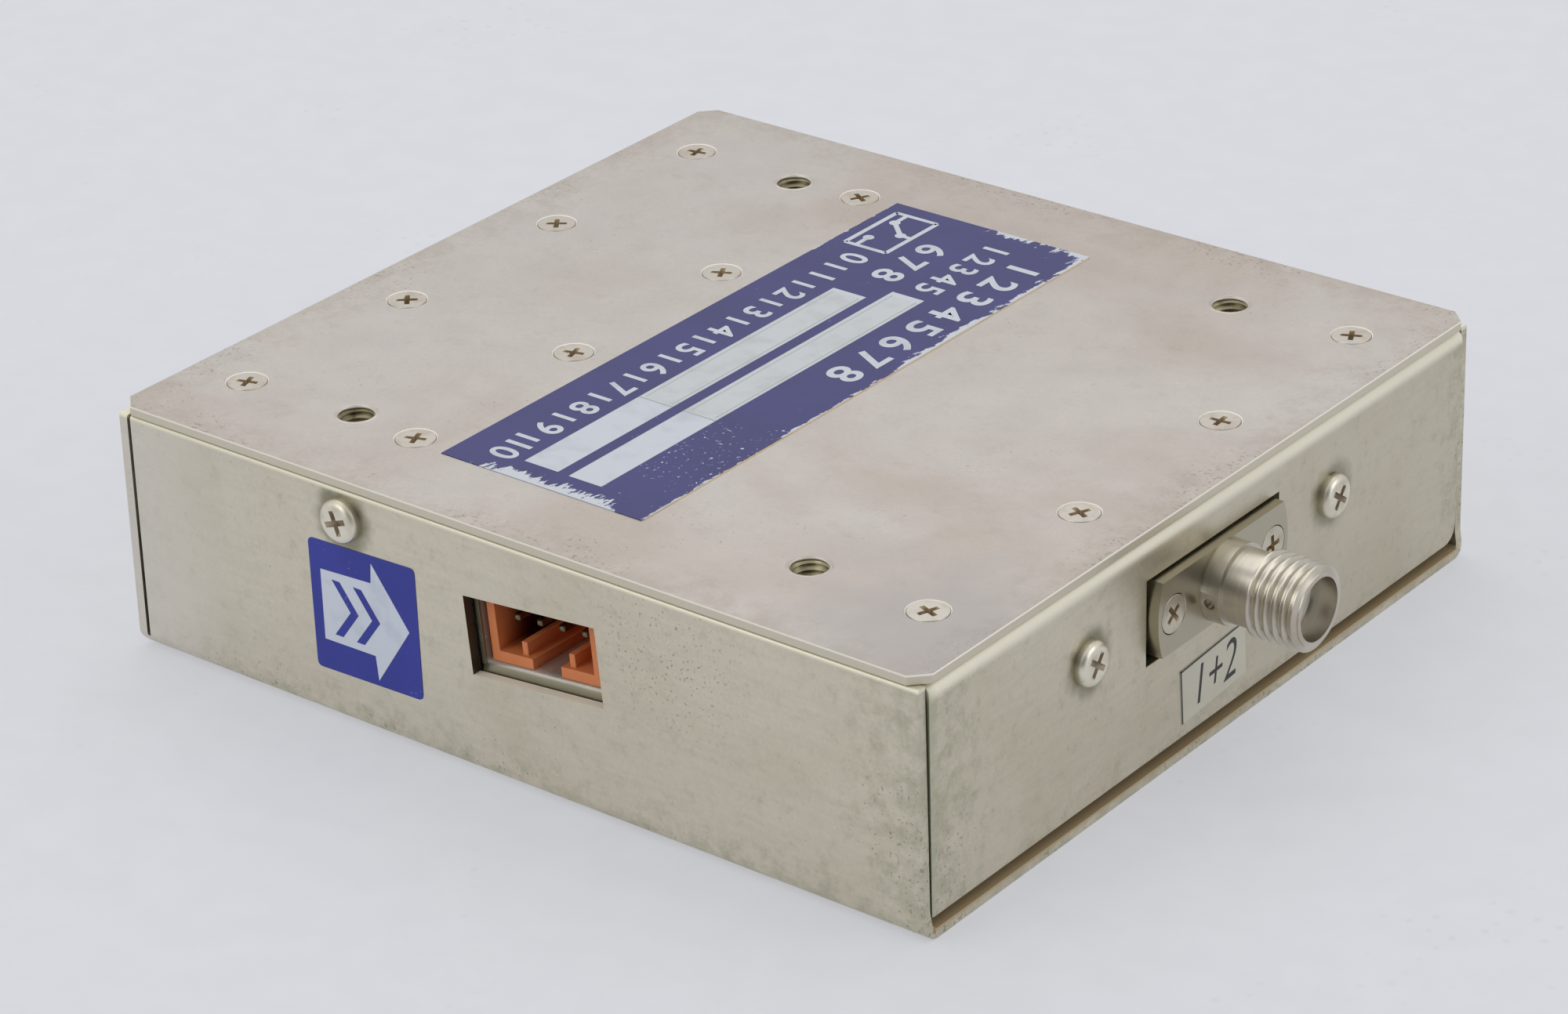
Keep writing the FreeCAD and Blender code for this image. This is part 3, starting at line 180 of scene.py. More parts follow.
soft_box("top_soft_box", (-0.35, 0.35, 0.8), (0, 0, 0), 0.9, 2.0)
soft_box("front_soft_box", (-0.3, -0.9, 0.6), (0, 0, 0.01), 0.8, 2.2)
soft_box("side_soft_box", (0.8, 0.2, 0.45), (0, 0, 0.01), 0.6, 1.2)
world = bpy.data.worlds.new("studio_world")
world.use_nodes = True
tree = world.node_tree
toward = shader_node(tree, "ShaderNodeTexCoord").outputs["Generated"]
dark_side = shader_node(tree, "ShaderNodeVectorMath", {0: toward, 1: (0.58, -0.78, 0.22)},
                        operation="DOT_PRODUCT").outputs["Value"]
room_light, room_dark = (0.97, 0.985, 1.0, 1.0), (0.22, 0.22, 0.23, 1.0)
room = blended(tree, stepped(tree, dark_side, 0.6, 0.95), room_light, room_dark)
tree.links.new(room, tree.nodes["Background"].inputs["Color"])
tree.nodes["Background"].inputs["Strength"].default_value = 0.74
bpy.context.scene.world = world
bpy.context.scene.view_settings.view_transform = "Standard"


# ---- Folded case and its cover ---------------------------------------------------------------
# Tray, end panel and cover plate are 0.75 mm steel sheet, sheared, folded and dull nickel plated.
# The plating has clouded with age: warm haze on the cover, yellow-grey blotches on the walls,
# brown where the edges were sheared, and fine dark pits. Light and shade are painted in too:
# painted highlights on the cover's rim and the top bends, painted shadow rings round the screws,
# painted shade on the window's cut edges, and edge faces, floor strip and -X end painted lighter.

def xyz(tree, vector):
    """The three parts of a vector."""
    return shader_node(tree, "ShaderNodeSeparateXYZ", {0: vector}).outputs


def distance(tree, place, centre):
    """How far each place is from a centre."""
    return shader_node(tree, "ShaderNodeVectorMath", {0: place, 1: centre},
                       operation="DISTANCE").outputs["Value"]


def shaded(tree, tone, share):
    """A colour made lighter or darker."""
    return shader_node(tree, "ShaderNodeVectorMath", {0: tone, "Scale": share},
                       operation="SCALE").outputs["Vector"]


def new_group(name, inputs, outputs):
    """A shader node group with its own input and output sockets."""
    made = bpy.data.node_groups.new(name, "ShaderNodeTree")
    for label, kind, value in inputs:
        socket = made.interface.new_socket(name=label, in_out="INPUT", socket_type=kind)
        socket.default_value = value
    for label, kind in outputs:
        made.interface.new_socket(name=label, in_out="OUTPUT", socket_type=kind)
    return made, made.nodes.new("NodeGroupInput").outputs, made.nodes.new("NodeGroupOutput").inputs


aged, given, result = new_group(
    "aged_plating",
    [("Clean", "NodeSocketColor", colour(196, 190, 180)),
     ("Haze", "NodeSocketColor", colour(188, 172, 150)),
     ("Blotch", "NodeSocketColor", colour(150, 150, 135)), ("Haze Size", "NodeSocketFloat", 60.0),
     ("Haze Amount", "NodeSocketFloat", 0.6), ("Blotch Amount", "NodeSocketFloat", 0.4),
     ("Pit Amount", "NodeSocketFloat", 0.5), ("Edge", "NodeSocketFloat", 0.0)],
    [("Color", "NodeSocketColor"), ("Roughness", "NodeSocketFloat"), ("Height", "NodeSocketFloat")])
place = object_place(aged)
drift = noise(aged, place, given["Haze Size"], 4.0, Roughness=0.6, Distortion=0.8)
clouds = calc(aged, "MULTIPLY", stepped(aged, drift, 0.38, 0.7), given["Haze Amount"])
mottle_size = calc(aged, "MULTIPLY", given["Haze Size"], 13.0)
mottle = noise(aged, place, mottle_size, 7.0, Roughness=0.72)
rolled = shader_node(aged, "ShaderNodeMapping", {"Vector": place, "Scale": (0.12, 0.12, 1.0)})
streak = noise(aged, rolled.outputs["Vector"], 2400.0, 3.0)
near_edge = calc(aged, "MULTIPLY", given["Edge"], 0.2)
mottled = stepped(aged, calc(aged, "ADD", mottle, near_edge), 0.5, 0.82)
blotches = calc(aged, "MULTIPLY", mottled, given["Blotch Amount"])
pits = noise(aged, place, 3300.0, 1.0)
crowd = noise(aged, place, 95.0, 1.0)
pit_room = calc(aged, "MULTIPLY", stepped(aged, crowd, 0.45, 0.62), given["Pit Amount"])
pits = calc(aged, "ADD", pits, calc(aged, "MULTIPLY", near_edge, 0.6))
pitted = calc(aged, "MULTIPLY", stepped(aged, pits, 0.715, 0.78), pit_room)
rubbed = noise(aged, place, 3800.0, 2.0)
tone = blended(aged, clouds, given["Clean"], given["Haze"])
tone = blended(aged, blotches, tone, given["Blotch"])
tone = blended(aged, pitted, tone, colour(124, 120, 98))
fine = calc(aged, "ADD", calc(aged, "MULTIPLY", streak, 0.5), calc(aged, "MULTIPLY", rubbed, 0.5))
tone = shaded(aged, tone, calc(aged, "MULTIPLY_ADD", fine, 0.3, 0.85))
aged.links.new(tone, result["Color"])
dull = calc(aged, "MULTIPLY_ADD", clouds, 0.08, 0.33)
dull = calc(aged, "MULTIPLY_ADD", blotches, 0.15, dull)
aged.links.new(calc(aged, "MULTIPLY_ADD", rubbed, 0.08, dull), result["Roughness"])
aged.links.new(calc(aged, "SUBTRACT", calc(aged, "MULTIPLY", mottle, 0.4), pitted), result["Height"])


def nearness(tree, place, axis, position, reach):
    """1 at a plane, falling to 0 at a distance from it."""
    away = calc(tree, "ABSOLUTE", calc(tree, "SUBTRACT", xyz(tree, place)[axis], position))
    return calc(tree, "SUBTRACT", 1.0, calc(tree, "DIVIDE", away, reach), clamp=True)


def plated(name, clean, haze, blotch, size, haze_amount, blotch_amount, pit_amount, edges):
    """Nickel plating, with more staining near the given planes."""
    made, tree, shader = new_material(name, clean, 1.0)
    place = object_place(tree)
    edge = None
    for axis, position, reach in edges:
        mask = nearness(tree, place, axis, position, reach)
        edge = mask if edge is None else calc(tree, "MAXIMUM", edge, mask)
    look = tree.nodes.new("ShaderNodeGroup")
    look.node_tree = aged
    for label, value in (("Clean", clean), ("Haze", haze), ("Blotch", blotch), ("Haze Size", size),
                         ("Haze Amount", haze_amount), ("Blotch Amount", blotch_amount),
                         ("Pit Amount", pit_amount)):
        look.inputs[label].default_value = value
    if edge is not None:
        tree.links.new(edge, look.inputs["Edge"])
    tree.links.new(look.outputs["Color"], shader.inputs["Base Color"])
    tree.links.new(look.outputs["Roughness"], shader.inputs["Roughness"])
    add_bump(tree, shader, look.outputs["Height"], 0.00003, 0.3)
    return made, tree, shader, place


def stained(tree, shader, mask, stain):
    """Lays a stain over the base colour that a shader already has."""
    under = shader.inputs["Base Color"].links[0].from_socket
    tree.links.new(blended(tree, mask, under, stain), shader.inputs["Base Color"])


def screw_halo(tree, shader, place, centre):
    """A painted shadow and dark reflection in a ragged green-grey ring round a screw's head."""
    ragged = noise(tree, place, 700.0, 4.0)
    reach = calc(tree, "MULTIPLY_ADD", ragged, 0.0016, distance(tree, place, centre))
    painted_ring = falling(tree, reach, 0.0024, 0.0038)
    stained(tree, shader, calc(tree, "MULTIPLY", painted_ring, 0.75), colour(108, 104, 78))


def body_of(node):
    """The body that moves a solid."""
    for body, members in frame["record"]["behaviour"]["bodies"].items():
        if node in members:
            return body


def worked_copy(node, name, materials, bevel=0.0, sharp=30.0):
    """A merged copy of a solid that stands for it, smooth over its curves and eased at its edges."""
    mesh = nodes[node].data.copy()
    mesh.name = name
    mesh.materials.clear()
    shape = bmesh.new()
    shape.from_mesh(mesh)
    bmesh.ops.remove_doubles(shape, verts=shape.verts, dist=0.000002)
    bmesh.ops.dissolve_limit(shape, angle_limit=math.radians(0.6), verts=shape.verts, edges=shape.edges)
    for face in shape.faces:
        face.smooth = True
        face.material_index = 0
    shape.to_mesh(mesh)
    shape.free()
    mesh.set_sharp_from_angle(angle=math.radians(sharp))
    for material in materials:
        mesh.materials.append(material)
    made = bpy.data.objects.new(name, mesh)
    bpy.context.scene.collection.objects.link(made)
    if bevel:
        ease = made.modifiers.new("eased_edges", "BEVEL")
        ease.width = bevel
        ease.segments = 2
        ease.limit_method = "ANGLE"
        ease.angle_limit = math.radians(35)
    even = made.modifiers.new("even_normals", "WEIGHTED_NORMAL")
    even.keep_sharp = True
    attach(made, body_of(node))
    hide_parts(node)
    return made


tray_low, tray_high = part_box("case_tray")
plate_low, plate_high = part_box("top_plate")
plate_top = plate_high.z
panel_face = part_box("com_end_panel")[1].x
port_z = 0.0124
panel_screw_y = 0.0149
side_screw_x, side_screw_z = -0.014, 0.0162
cover_plating, tree, shader, place = plated(
    "cover_plating", clean=colour(194, 187, 181), haze=colour(180, 168, 158), blotch=colour(172, 162, 151),
    size=34.0, haze_amount=0.75, blotch_amount=0.5, pit_amount=0.45,
    edges=[(0, plate_low.x, 0.005), (0, plate_high.x, 0.004), (1, plate_low.y, 0.004),
           (1, plate_high.y, 0.005)])
height = xyz(tree, place)["Z"]
# Sheared-edge tone on the cover's edge faces, lightened as painted light because these faces see the dark
# side.
sheared = falling(tree, height, plate_top - 0.00016, plate_top - 0.0001)
stained(tree, shader, sheared, colour(214, 207, 188))
# Painted highlight: a near-white band on the bevel along the cover's top edge, made less metallic so it
# shows.
rim = calc(tree, "MULTIPLY", stepped(tree, height, plate_top - 0.00018, plate_top - 0.00012),
           falling(tree, height, plate_top - 0.00002, plate_top - 0.000005))
stained(tree, shader, rim, colour(246, 241, 228))
tree.links.new(calc(tree, "MULTIPLY_ADD", rim, -0.85, 1.0), shader.inputs["Metallic"])
near_corner = (0.031, -0.028, plate_top)
drift = noise(tree, place, 90.0, 4.0)
handled = calc(tree, "SUBTRACT", calc(tree, "MULTIPLY", drift, 0.024), distance(tree, place, near_corner))
handled = calc(tree, "MULTIPLY", stepped(tree, handled, -0.002, 0.009),
               stepped(tree, height, plate_top - 0.00002, plate_top - 0.000005))
stained(tree, shader, calc(tree, "MULTIPLY", handled, 0.7), colour(170, 164, 162))

wall_plating, tree, shader, place = plated(
    "wall_plating", clean=colour(216, 209, 190), haze=colour(205, 197, 175), blotch=colour(176, 173, 152),
    size=55.0, haze_amount=0.65, blotch_amount=0.6, pit_amount=0.5,
    edges=[(2, tray_low.z, 0.0035), (0, tray_high.x, 0.008), (0, tray_low.x, 0.005)])
# Painted shadow rings round the two side screws.
screw_halo(tree, shader, place, (side_screw_x, tray_low.y, side_screw_z))
screw_halo(tree, shader, place, (side_screw_x, -tray_low.y, side_screw_z))
sheet_top = 0.00075
split = xyz(tree, place)
# The floor strip under the end panel: a brown stain, painted lighter as fill light for the shaded gap under
# the panel.
floor_stain_and_fill_light = stepped(tree, nearness(tree, place, 2, sheet_top, 0.0004), 0.3, 0.8)
floor_half = 0.0327
floor_stain_and_fill_light = calc(tree, "MULTIPLY", floor_stain_and_fill_light,
                stepped(tree, split["X"], panel_face - 0.003, panel_face - 0.002))
floor_stain_and_fill_light = calc(tree, "MULTIPLY", floor_stain_and_fill_light,
                stepped(tree, nearness(tree, place, 1, 0.0, floor_half), 0.0, 0.008))
stained(tree, shader, floor_stain_and_fill_light, colour(190, 167, 130))
# Painted light: the walls turn whiter towards the -X end, where the key light falls.
lit_left_end = falling(tree, split["X"], -0.036, -0.020)
stained(tree, shader, calc(tree, "MULTIPLY", lit_left_end, 0.75), colour(224, 219, 209))
# Painted shade on the window's cut edges, dark brown, with a painted highlight on the upward-facing sill.
facing = xyz(tree, shader_node(tree, "ShaderNodeNewGeometry").outputs["True Normal"])
window_x, window_z = 0.0028, 0.0112
wall_back = tray_low.y + sheet_top
window_edge_shade = calc(tree, "MULTIPLY", nearness(tree, place, 0, window_x, 0.0075),
                 nearness(tree, place, 2, window_z, 0.0048))
window_edge_shade = calc(tree, "MULTIPLY", stepped(tree, window_edge_shade, 0.0, 0.02),
                 falling(tree, calc(tree, "ABSOLUTE", facing["Y"]), 0.3, 0.6))
window_edge_shade = calc(tree, "MULTIPLY", window_edge_shade,
                 falling(tree, split["Y"], wall_back - 0.00005, wall_back + 0.00005))
sill_highlight = calc(tree, "MULTIPLY", window_edge_shade, stepped(tree, facing["Z"], 0.4, 0.7))
stained(tree, shader, window_edge_shade, colour(72, 60, 46))
stained(tree, shader, sill_highlight, colour(246, 240, 222))
pecks = noise(tree, place, 3600.0, 1.0)
pecked = falling(tree, distance(tree, place, (0.0145, tray_low.y, 0.0148)), 0.002, 0.009)
pecked = calc(tree, "MULTIPLY", pecked, stepped(tree, pecks, 0.63, 0.7))
stained(tree, shader, calc(tree, "MULTIPLY", pecked, 0.6), colour(132, 126, 104))
# Painted highlight along the wall tops, where the rounded top edge catches the light.
crest_highlight = stepped(tree, split["Z"], tray_high.z - 0.00036, tray_high.z - 0.00018)
stained(tree, shader, crest_highlight, colour(232, 227, 204))
# Metallic is lowered under the floor stain, the painted highlight and the window's painted shade and sill,
# so their colours show.
dull = calc(tree, "ADD", calc(tree, "MULTIPLY", floor_stain_and_fill_light, -0.75), calc(tree, "MULTIPLY", crest_highlight, -0.5))
dull = calc(tree, "ADD", dull, calc(tree, "MULTIPLY", calc(tree, "ADD", window_edge_shade, sill_highlight), -0.48))
tree.links.new(calc(tree, "ADD", dull, 1.0), shader.inputs["Metallic"])

panel_plating, tree, shader, place = plated(
    "panel_plating", clean=colour(212, 205, 186), haze=colour(201, 193, 170), blotch=colour(170, 168, 146),
    size=65.0, haze_amount=0.65, blotch_amount=0.65, pit_amount=0.5,
    edges=[(2, tray_low.z, 0.003), (1, tray_low.y, 0.009), (1, tray_high.y, 0.005)])
# Painted shadow rings round the two panel screws.
screw_halo(tree, shader, place, (panel_face, -panel_screw_y, port_z))
screw_halo(tree, shader, place, (panel_face, panel_screw_y, port_z))
split = xyz(tree, place)
far_side = stepped(tree, split["Y"], -0.015, 0.015)
stained(tree, shader, calc(tree, "MULTIPLY", far_side, 0.3), colour(186, 179, 158))
# Painted highlight along the panel's top bend, made less metallic so it shows.
crest_highlight = stepped(tree, split["Z"], tray_high.z - 0.0014, tray_high.z - 0.0006)
crest_highlight = calc(tree, "MULTIPLY", crest_highlight, 0.95)
stained(tree, shader, crest_highlight, colour(242, 236, 217))
tree.links.new(calc(tree, "MULTIPLY_ADD", crest_highlight, -0.5, 1.0), shader.inputs["Metallic"])
cut_side = nearness(tree, place, 1, tray_low.y + 0.0009, 0.0009)
stained(tree, shader, calc(tree, "MULTIPLY", cut_side, 0.6), colour(190, 192, 166))
worked_copy("top_plate", "cover_plate", [cover_plating], 0.00012)
worked_copy("case_tray", "folded_tray", [wall_plating], 0.00008)
worked_copy("com_end_panel", "end_panel", [panel_plating], 0.00006)


# ---- Screws ----------------------------------------------------------------------------------
# Plated steel machine screws with cross slots: flush ones in the cover and the port flanges, and
# pan heads through the walls. Brown tarnish lies in the slots, and the heads are rubbed bright.

def screw_steel_material(name, clean, haze, roughness):
    """Plated steel, rubbed bright in places."""
    made, tree, shader = new_material(name, clean, 1.0)
    wear = noise(tree, object_place(tree), 700.0, 4.0)
    mask = stepped(tree, wear, 0.4, 0.7)
    tree.links.new(blended(tree, mask, clean, haze), shader.inputs["Base Color"])
    tree.links.new(calc(tree, "MULTIPLY_ADD", mask, 0.15, roughness), shader.inputs["Roughness"])
    add_bump(tree, shader, wear, 0.00002, 0.4)
    return made


pan_steel = screw_steel_material("pan_steel", colour(230, 225, 209), colour(212, 205, 184), 0.34)
flush_steel = screw_steel_material("flush_steel", colour(201, 194, 184), colour(184, 174, 161), 0.3)
flange_steel = screw_steel_material("flange_steel", colour(206, 200, 182), colour(188, 181, 162), 0.28)
slot_tarnish = screw_steel_material("slot_tarnish", colour(172, 152, 120), colour(134, 114, 82), 0.5)
slot_tarnish.node_tree.nodes["Principled BSDF"].inputs["Metallic"].default_value = 0.35
pan_tarnish = screw_steel_material("pan_tarnish", colour(190, 174, 152), colour(158, 140, 116), 0.5)
pan_tarnish.node_tree.nodes["Principled BSDF"].inputs["Metallic"].default_value = 0.25


def tarnish_slots(screws, in_slot, tarnish=slot_tarnish):
    """Gives the tarnish to the faces of the cross slots, which in_slot picks out."""
    if tarnish.name not in screws.data.materials:
        screws.data.materials.append(tarnish)
    for face in screws.data.polygons:
        if in_slot(face):
            face.material_index = 1


def inside_a_head(centres, outward, reach, level):
    """A test for faces near a screw's axis and less than 0.9 mm below its head's top."""
    axis = Vector(outward)

    def test(face):
        for centre in centres:
            offset = face.center - Vector(centre)
            along = offset.dot(axis)
            across = (offset - axis * along).length
            if across < reach and level - 0.0009 < along < level - 0.00001:
                return True
        return False

    return test


screw_xs = (-0.030, -0.014, 0.030)
screw_ys = (-0.0255, -0.0085, 0.0085, 0.0255)
plate_screws = worked_copy("plate_screws", "cover_screws", [flush_steel], 0.00004)
slot_reach = 0.00095
tarnish_slots(plate_screws, inside_a_head([(x, y, plate_top) for x in screw_xs for y in screw_ys],
                                          (0, 0, 1), slot_reach, 0.0))
case_screws = worked_copy("case_screws", "wall_screws", [pan_steel])
pan_head, pan_slot_reach = 0.00075, 0.00115
back_screw_y = 0.025
for side in (-1, 1):
    for centre, outward in (((panel_face, side * panel_screw_y, port_z), (1, 0, 0)),
                            ((side_screw_x, -side * tray_low.y, side_screw_z), (0, side, 0)),
                            ((tray_low.x, side * back_screw_y, port_z), (-1, 0, 0))):
        tarnish_slots(case_screws, inside_a_head([centre], outward, pan_slot_reach, pan_head), pan_tarnish)
flange_screws = worked_copy("connector_screws", "flange_screws", [flange_steel], 0.00003)
flange_face, outlet_face = 0.036, -0.0338
outlet_y, flange_screw_y = 0.012, 0.0061
front_screws = [(flange_face, step, port_z) for step in (-flange_screw_y, flange_screw_y)]
tarnish_slots(flange_screws, inside_a_head(front_screws, (1, 0, 0), slot_reach, 0.0))
back_screws = [(outlet_face, y + step, port_z) for y in (-outlet_y, outlet_y)
               for step in (-flange_screw_y, flange_screw_y)]
tarnish_slots(flange_screws, inside_a_head(back_screws, (-1, 0, 0), slot_reach, 0.0))


# ---- Coaxial ports ---------------------------------------------------------------------------
# Stainless jacks turned from bar: a flange cut from a disc, a smooth barrel with a filled
# pinhole, a coupling thread and a bright nose. Fine turning rings run round all of it.

def turned_steel(name, clean, dark, roughness):
    """Steel with turning rings round the X axis; the common port's flange gets a painted dark reflection.
    """
    made, tree, shader = new_material(name, clean, 1.0)
    place = object_place(tree)
    stretch = shader_node(tree, "ShaderNodeMapping", {"Vector": place, "Scale": (1.0, 0.03, 0.03)})
    rings = noise(tree, stretch.outputs["Vector"], 7000.0, 3.0)
    wear = noise(tree, place, 260.0, 5.0)
    mask = stepped(tree, wear, 0.45, 0.75)
    tone = blended(tree, mask, clean, dark)
    tone = shaded(tree, tone, calc(tree, "MULTIPLY_ADD", rings, 0.24, 0.88))
    tree.links.new(tone, shader.inputs["Base Color"])
    reach = xyz(tree, place)["X"]
    # Painted reflection: the flange is darkened and greened where the dark room would reflect in it.
    flange_dark_reflection = calc(tree, "MULTIPLY", stepped(tree, reach, flange_face - 0.002, flange_face - 0.001),
                     falling(tree, reach, flange_face + 0.00005, flange_face + 0.0002))
    stained(tree, shader, flange_dark_reflection, colour(180, 174, 154))
    tree.links.new(calc(tree, "MULTIPLY_ADD", mask, 0.08, roughness), shader.inputs["Roughness"])
    add_bump(tree, shader, rings, 0.00001, 0.3)
    return made


connector_steel = turned_steel("connector_steel", colour(201, 195, 182), colour(184, 176, 160), 0.3)
worked_copy("com_connector", "com_jack", [connector_steel], 0.00004)
worked_copy("port_1_connector", "port_1_jack", [connector_steel], 0.00004)
worked_copy("port_2_connector", "port_2_jack", [connector_steel], 0.00004)

def grained(name, base, dark, light, scale, detail=3.0, metallic=0.0, roughness=0.5, dulling=None):
    """A material that wanders between two tones; dulling is the grain's share of the roughness and
    the roughness that is there without it."""
    made, tree, shader = new_material(name, base, metallic, roughness)
    grain = noise(tree, object_place(tree), scale, detail)
    tree.links.new(blended(tree, grain, dark, light), shader.inputs["Base Color"])
    if dulling:
        tree.links.new(calc(tree, "MULTIPLY_ADD", grain, *dulling), shader.inputs["Roughness"])
    return made, tree, shader, grain


def finish_solids(material, members):
    """Gives a material to solids that keep their own meshes."""
    for node in members:
        nodes[node].data.materials.clear()
        nodes[node].data.materials.append(material)


white_insulator, tree, shader, grain = grained(
    "white_insulator", colour(224, 222, 214), colour(214, 210, 198), colour(232, 230, 224), 600.0,
    roughness=0.45)
add_bump(tree, shader, grain, 0.00002, 0.3)
finish_solids(white_insulator, ("connector_insulators", "line_beads", "rod_bushes", "push_rod_1",
                                "push_rod_2"))
gold_contact = grained(
    "gold_contact", colour(212, 172, 96), colour(196, 152, 82), colour(224, 188, 112), 900.0,
    metallic=1.0, roughness=0.25, dulling=(0.2, 0.15))[0]
finish_solids(gold_contact, ("connector_contacts", "com_line", "port_1_line", "port_2_line",
                             "contact_blade_1", "contact_blade_2"))


# ---- Control header --------------------------------------------------------------------------
# An orange nylon header stands on a bright folded bracket behind the window in the side wall,
# with four tinned pins. It was fitted at a slight slant, and so was the window.

orange_nylon, tree, shader = new_material("orange_nylon", colour(204, 116, 68), roughness=0.4)
shader.inputs["Specular IOR Level"].default_value = 0.3
place = object_place(tree)
grain = noise(tree, place, 300.0, 4.0)
header_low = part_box("header_housing")[0]
split = xyz(tree, place)
# Painted shade: the orange darkens to deep brown further into the cavity, most by its left inner wall.
left_wall_shade = falling(tree, split["X"], header_low.x + 0.0018, header_low.x + 0.0034)
cavity_shade = stepped(tree, split["Y"], header_low.y + 0.0002, header_low.y + 0.0034)
cavity_shade = calc(tree, "MULTIPLY", cavity_shade, calc(tree, "MULTIPLY_ADD", left_wall_shade, 0.95, 0.05))
lit = blended(tree, grain, colour(210, 118, 66), colour(226, 142, 92))
tree.links.new(blended(tree, cavity_shade, lit, colour(70, 24, 8)), shader.inputs["Base Color"])
shader.inputs["Subsurface Weight"].default_value = 0.1
shader.inputs["Subsurface Radius"].default_value = (0.002, 0.0008, 0.0004)
add_bump(tree, shader, grain, 0.00004, 0.3)
worked_copy("header_housing", "header_shell", [orange_nylon], 0.00005)

bright_tin, tree, shader, grain = grained(
    "bright_tin", colour(216, 210, 198), colour(204, 198, 185), colour(230, 225, 214), 500.0, 4.0,
    metallic=0.65, roughness=0.3, dulling=(0.25, 0.12))
front_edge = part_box("header_bracket")[0].y
depth = xyz(tree, object_place(tree))["Y"]
# Painted shadow: a dark band on the bracket's front edge, for the shaded gap in front of it.
front_edge_shade = falling(tree, depth, front_edge + 0.00012, front_edge + 0.0003)
stained(tree, shader, front_edge_shade, colour(136, 130, 108))
worked_copy("header_bracket", "bracket_fold", [bright_tin], 0.00003)

pin_tin = grained("pin_tin", colour(112, 100, 82), colour(88, 78, 62), colour(138, 128, 108), 900.0,
                  metallic=1.0, roughness=0.3, dulling=(0.2, 0.2))[0]
worked_copy("header_pins", "header_pin_row", [pin_tin], 0.00006)


# ---- Name plate ------------------------------------------------------------------------------
# White polyester film printed violet-blue, stuck on the cover. The white bars hold paper inserts for
# written entries; the rest is a plain changeover diagram and scales. Its edges are scuffed to the
# film, and a line of old glue shows along one side.

film_low, film_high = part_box("name_label")
film_lift = 0.000045
print_lift = 0.000055


def printed_film(name, ink, film, wear_edges, speckled):
    """Ink over white film. Each worn edge has an axis, a level, a width and a strength, then the
    other axis and the four levels on it where the wear starts, is full, fades and is gone."""
    made, tree, shader = new_material(name, ink, 0.0, 0.42)
    shader.inputs["Specular IOR Level"].default_value = 0.3
    place = object_place(tree)
    split = xyz(tree, place)
    reach = None
    for axis, level, width, strength, along, (start, full, fade, gone) in wear_edges:
        away = calc(tree, "ABSOLUTE", calc(tree, "SUBTRACT", split[axis], level))
        near = calc(tree, "SUBTRACT", 1.0, calc(tree, "DIVIDE", away, width), clamp=True)
        near = calc(tree, "MULTIPLY", calc(tree, "POWER", near, 1.6), strength)
        near = calc(tree, "MULTIPLY", near, stepped(tree, split[along], start, full))
        near = calc(tree, "MULTIPLY", near, stepped(tree, split[along], gone, fade))
        reach = near if reach is None else calc(tree, "MAXIMUM", reach, near)
    scraped = shader_node(tree, "ShaderNodeMapping", vector_type="TEXTURE", inputs={
        "Vector": place, "Rotation": (0.0, 0.0, math.radians(-11)), "Scale": (1.0, 3.5, 1.0)})
    fleck = noise(tree, scraped.outputs["Vector"], 2300.0, 5.0, Roughness=0.65)
    patch = noise(tree, place, 330.0, 2.0)
    patch = calc(tree, "MULTIPLY_ADD", patch, 3.0, -0.7, clamp=True)
    reach = calc(tree, "MULTIPLY", reach, patch)
    worn = stepped(tree, calc(tree, "ADD", fleck, reach), 0.74, 0.78)
    centre, spread = speckled
    away = calc(tree, "DIVIDE", distance(tree, place, centre), spread)
    close = calc(tree, "SUBTRACT", 1.0, away, clamp=True)
    crowd = noise(tree, place, 260.0, 2.0)
    crowd = calc(tree, "MULTIPLY_ADD", close, 0.38, crowd)
    speck = noise(tree, place, 3400.0, 2.0)
    specks = calc(tree, "MULTIPLY", stepped(tree, speck, 0.62, 0.76),
                  stepped(tree, crowd, 0.64, 0.8))
    worn = calc(tree, "MAXIMUM", worn, specks)
    cloud = noise(tree, place, 160.0, 3.0)
    lighter = tuple(min(1.0, part * 1.15) for part in ink[:3]) + (1.0,)
    inked = blended(tree, stepped(tree, cloud, 0.35, 0.7), ink, lighter)
    tree.links.new(blended(tree, worn, inked, film), shader.inputs["Base Color"])
    tree.links.new(calc(tree, "MULTIPLY_ADD", worn, 0.15, 0.42), shader.inputs["Roughness"])
    add_bump(tree, shader, calc(tree, "SUBTRACT", 1.0, worn), 0.00001, 0.5)
    return made


def white_print(name, shade, soil):
    """The bare film, a little soiled."""
    made, tree, shader = new_material(name, shade, 0.0, 0.5)
    place = object_place(tree)
    dirt = noise(tree, place, 500.0, 5.0)
    tree.links.new(blended(tree, stepped(tree, dirt, 0.45, 0.75), shade, soil),
                   shader.inputs["Base Color"])
    add_bump(tree, shader, dirt, 0.00001, 0.3)
    return made


def finished_piece(name, shape, materials, node=None, smooth=False):
    """A mesh object from a bmesh, riding the case and set against a solid where it stands for one."""
    mesh = bpy.data.meshes.new(name)
    bmesh.ops.recalc_face_normals(shape, faces=shape.faces)
    for face in shape.faces:
        face.smooth = smooth
    shape.to_mesh(mesh)
    shape.free()
    for material in materials:
        mesh.materials.append(material)
    made = bpy.data.objects.new(name, mesh)
    bpy.context.scene.collection.objects.link(made)
    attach(made, "case")
    if node:
        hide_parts(node)
    return made


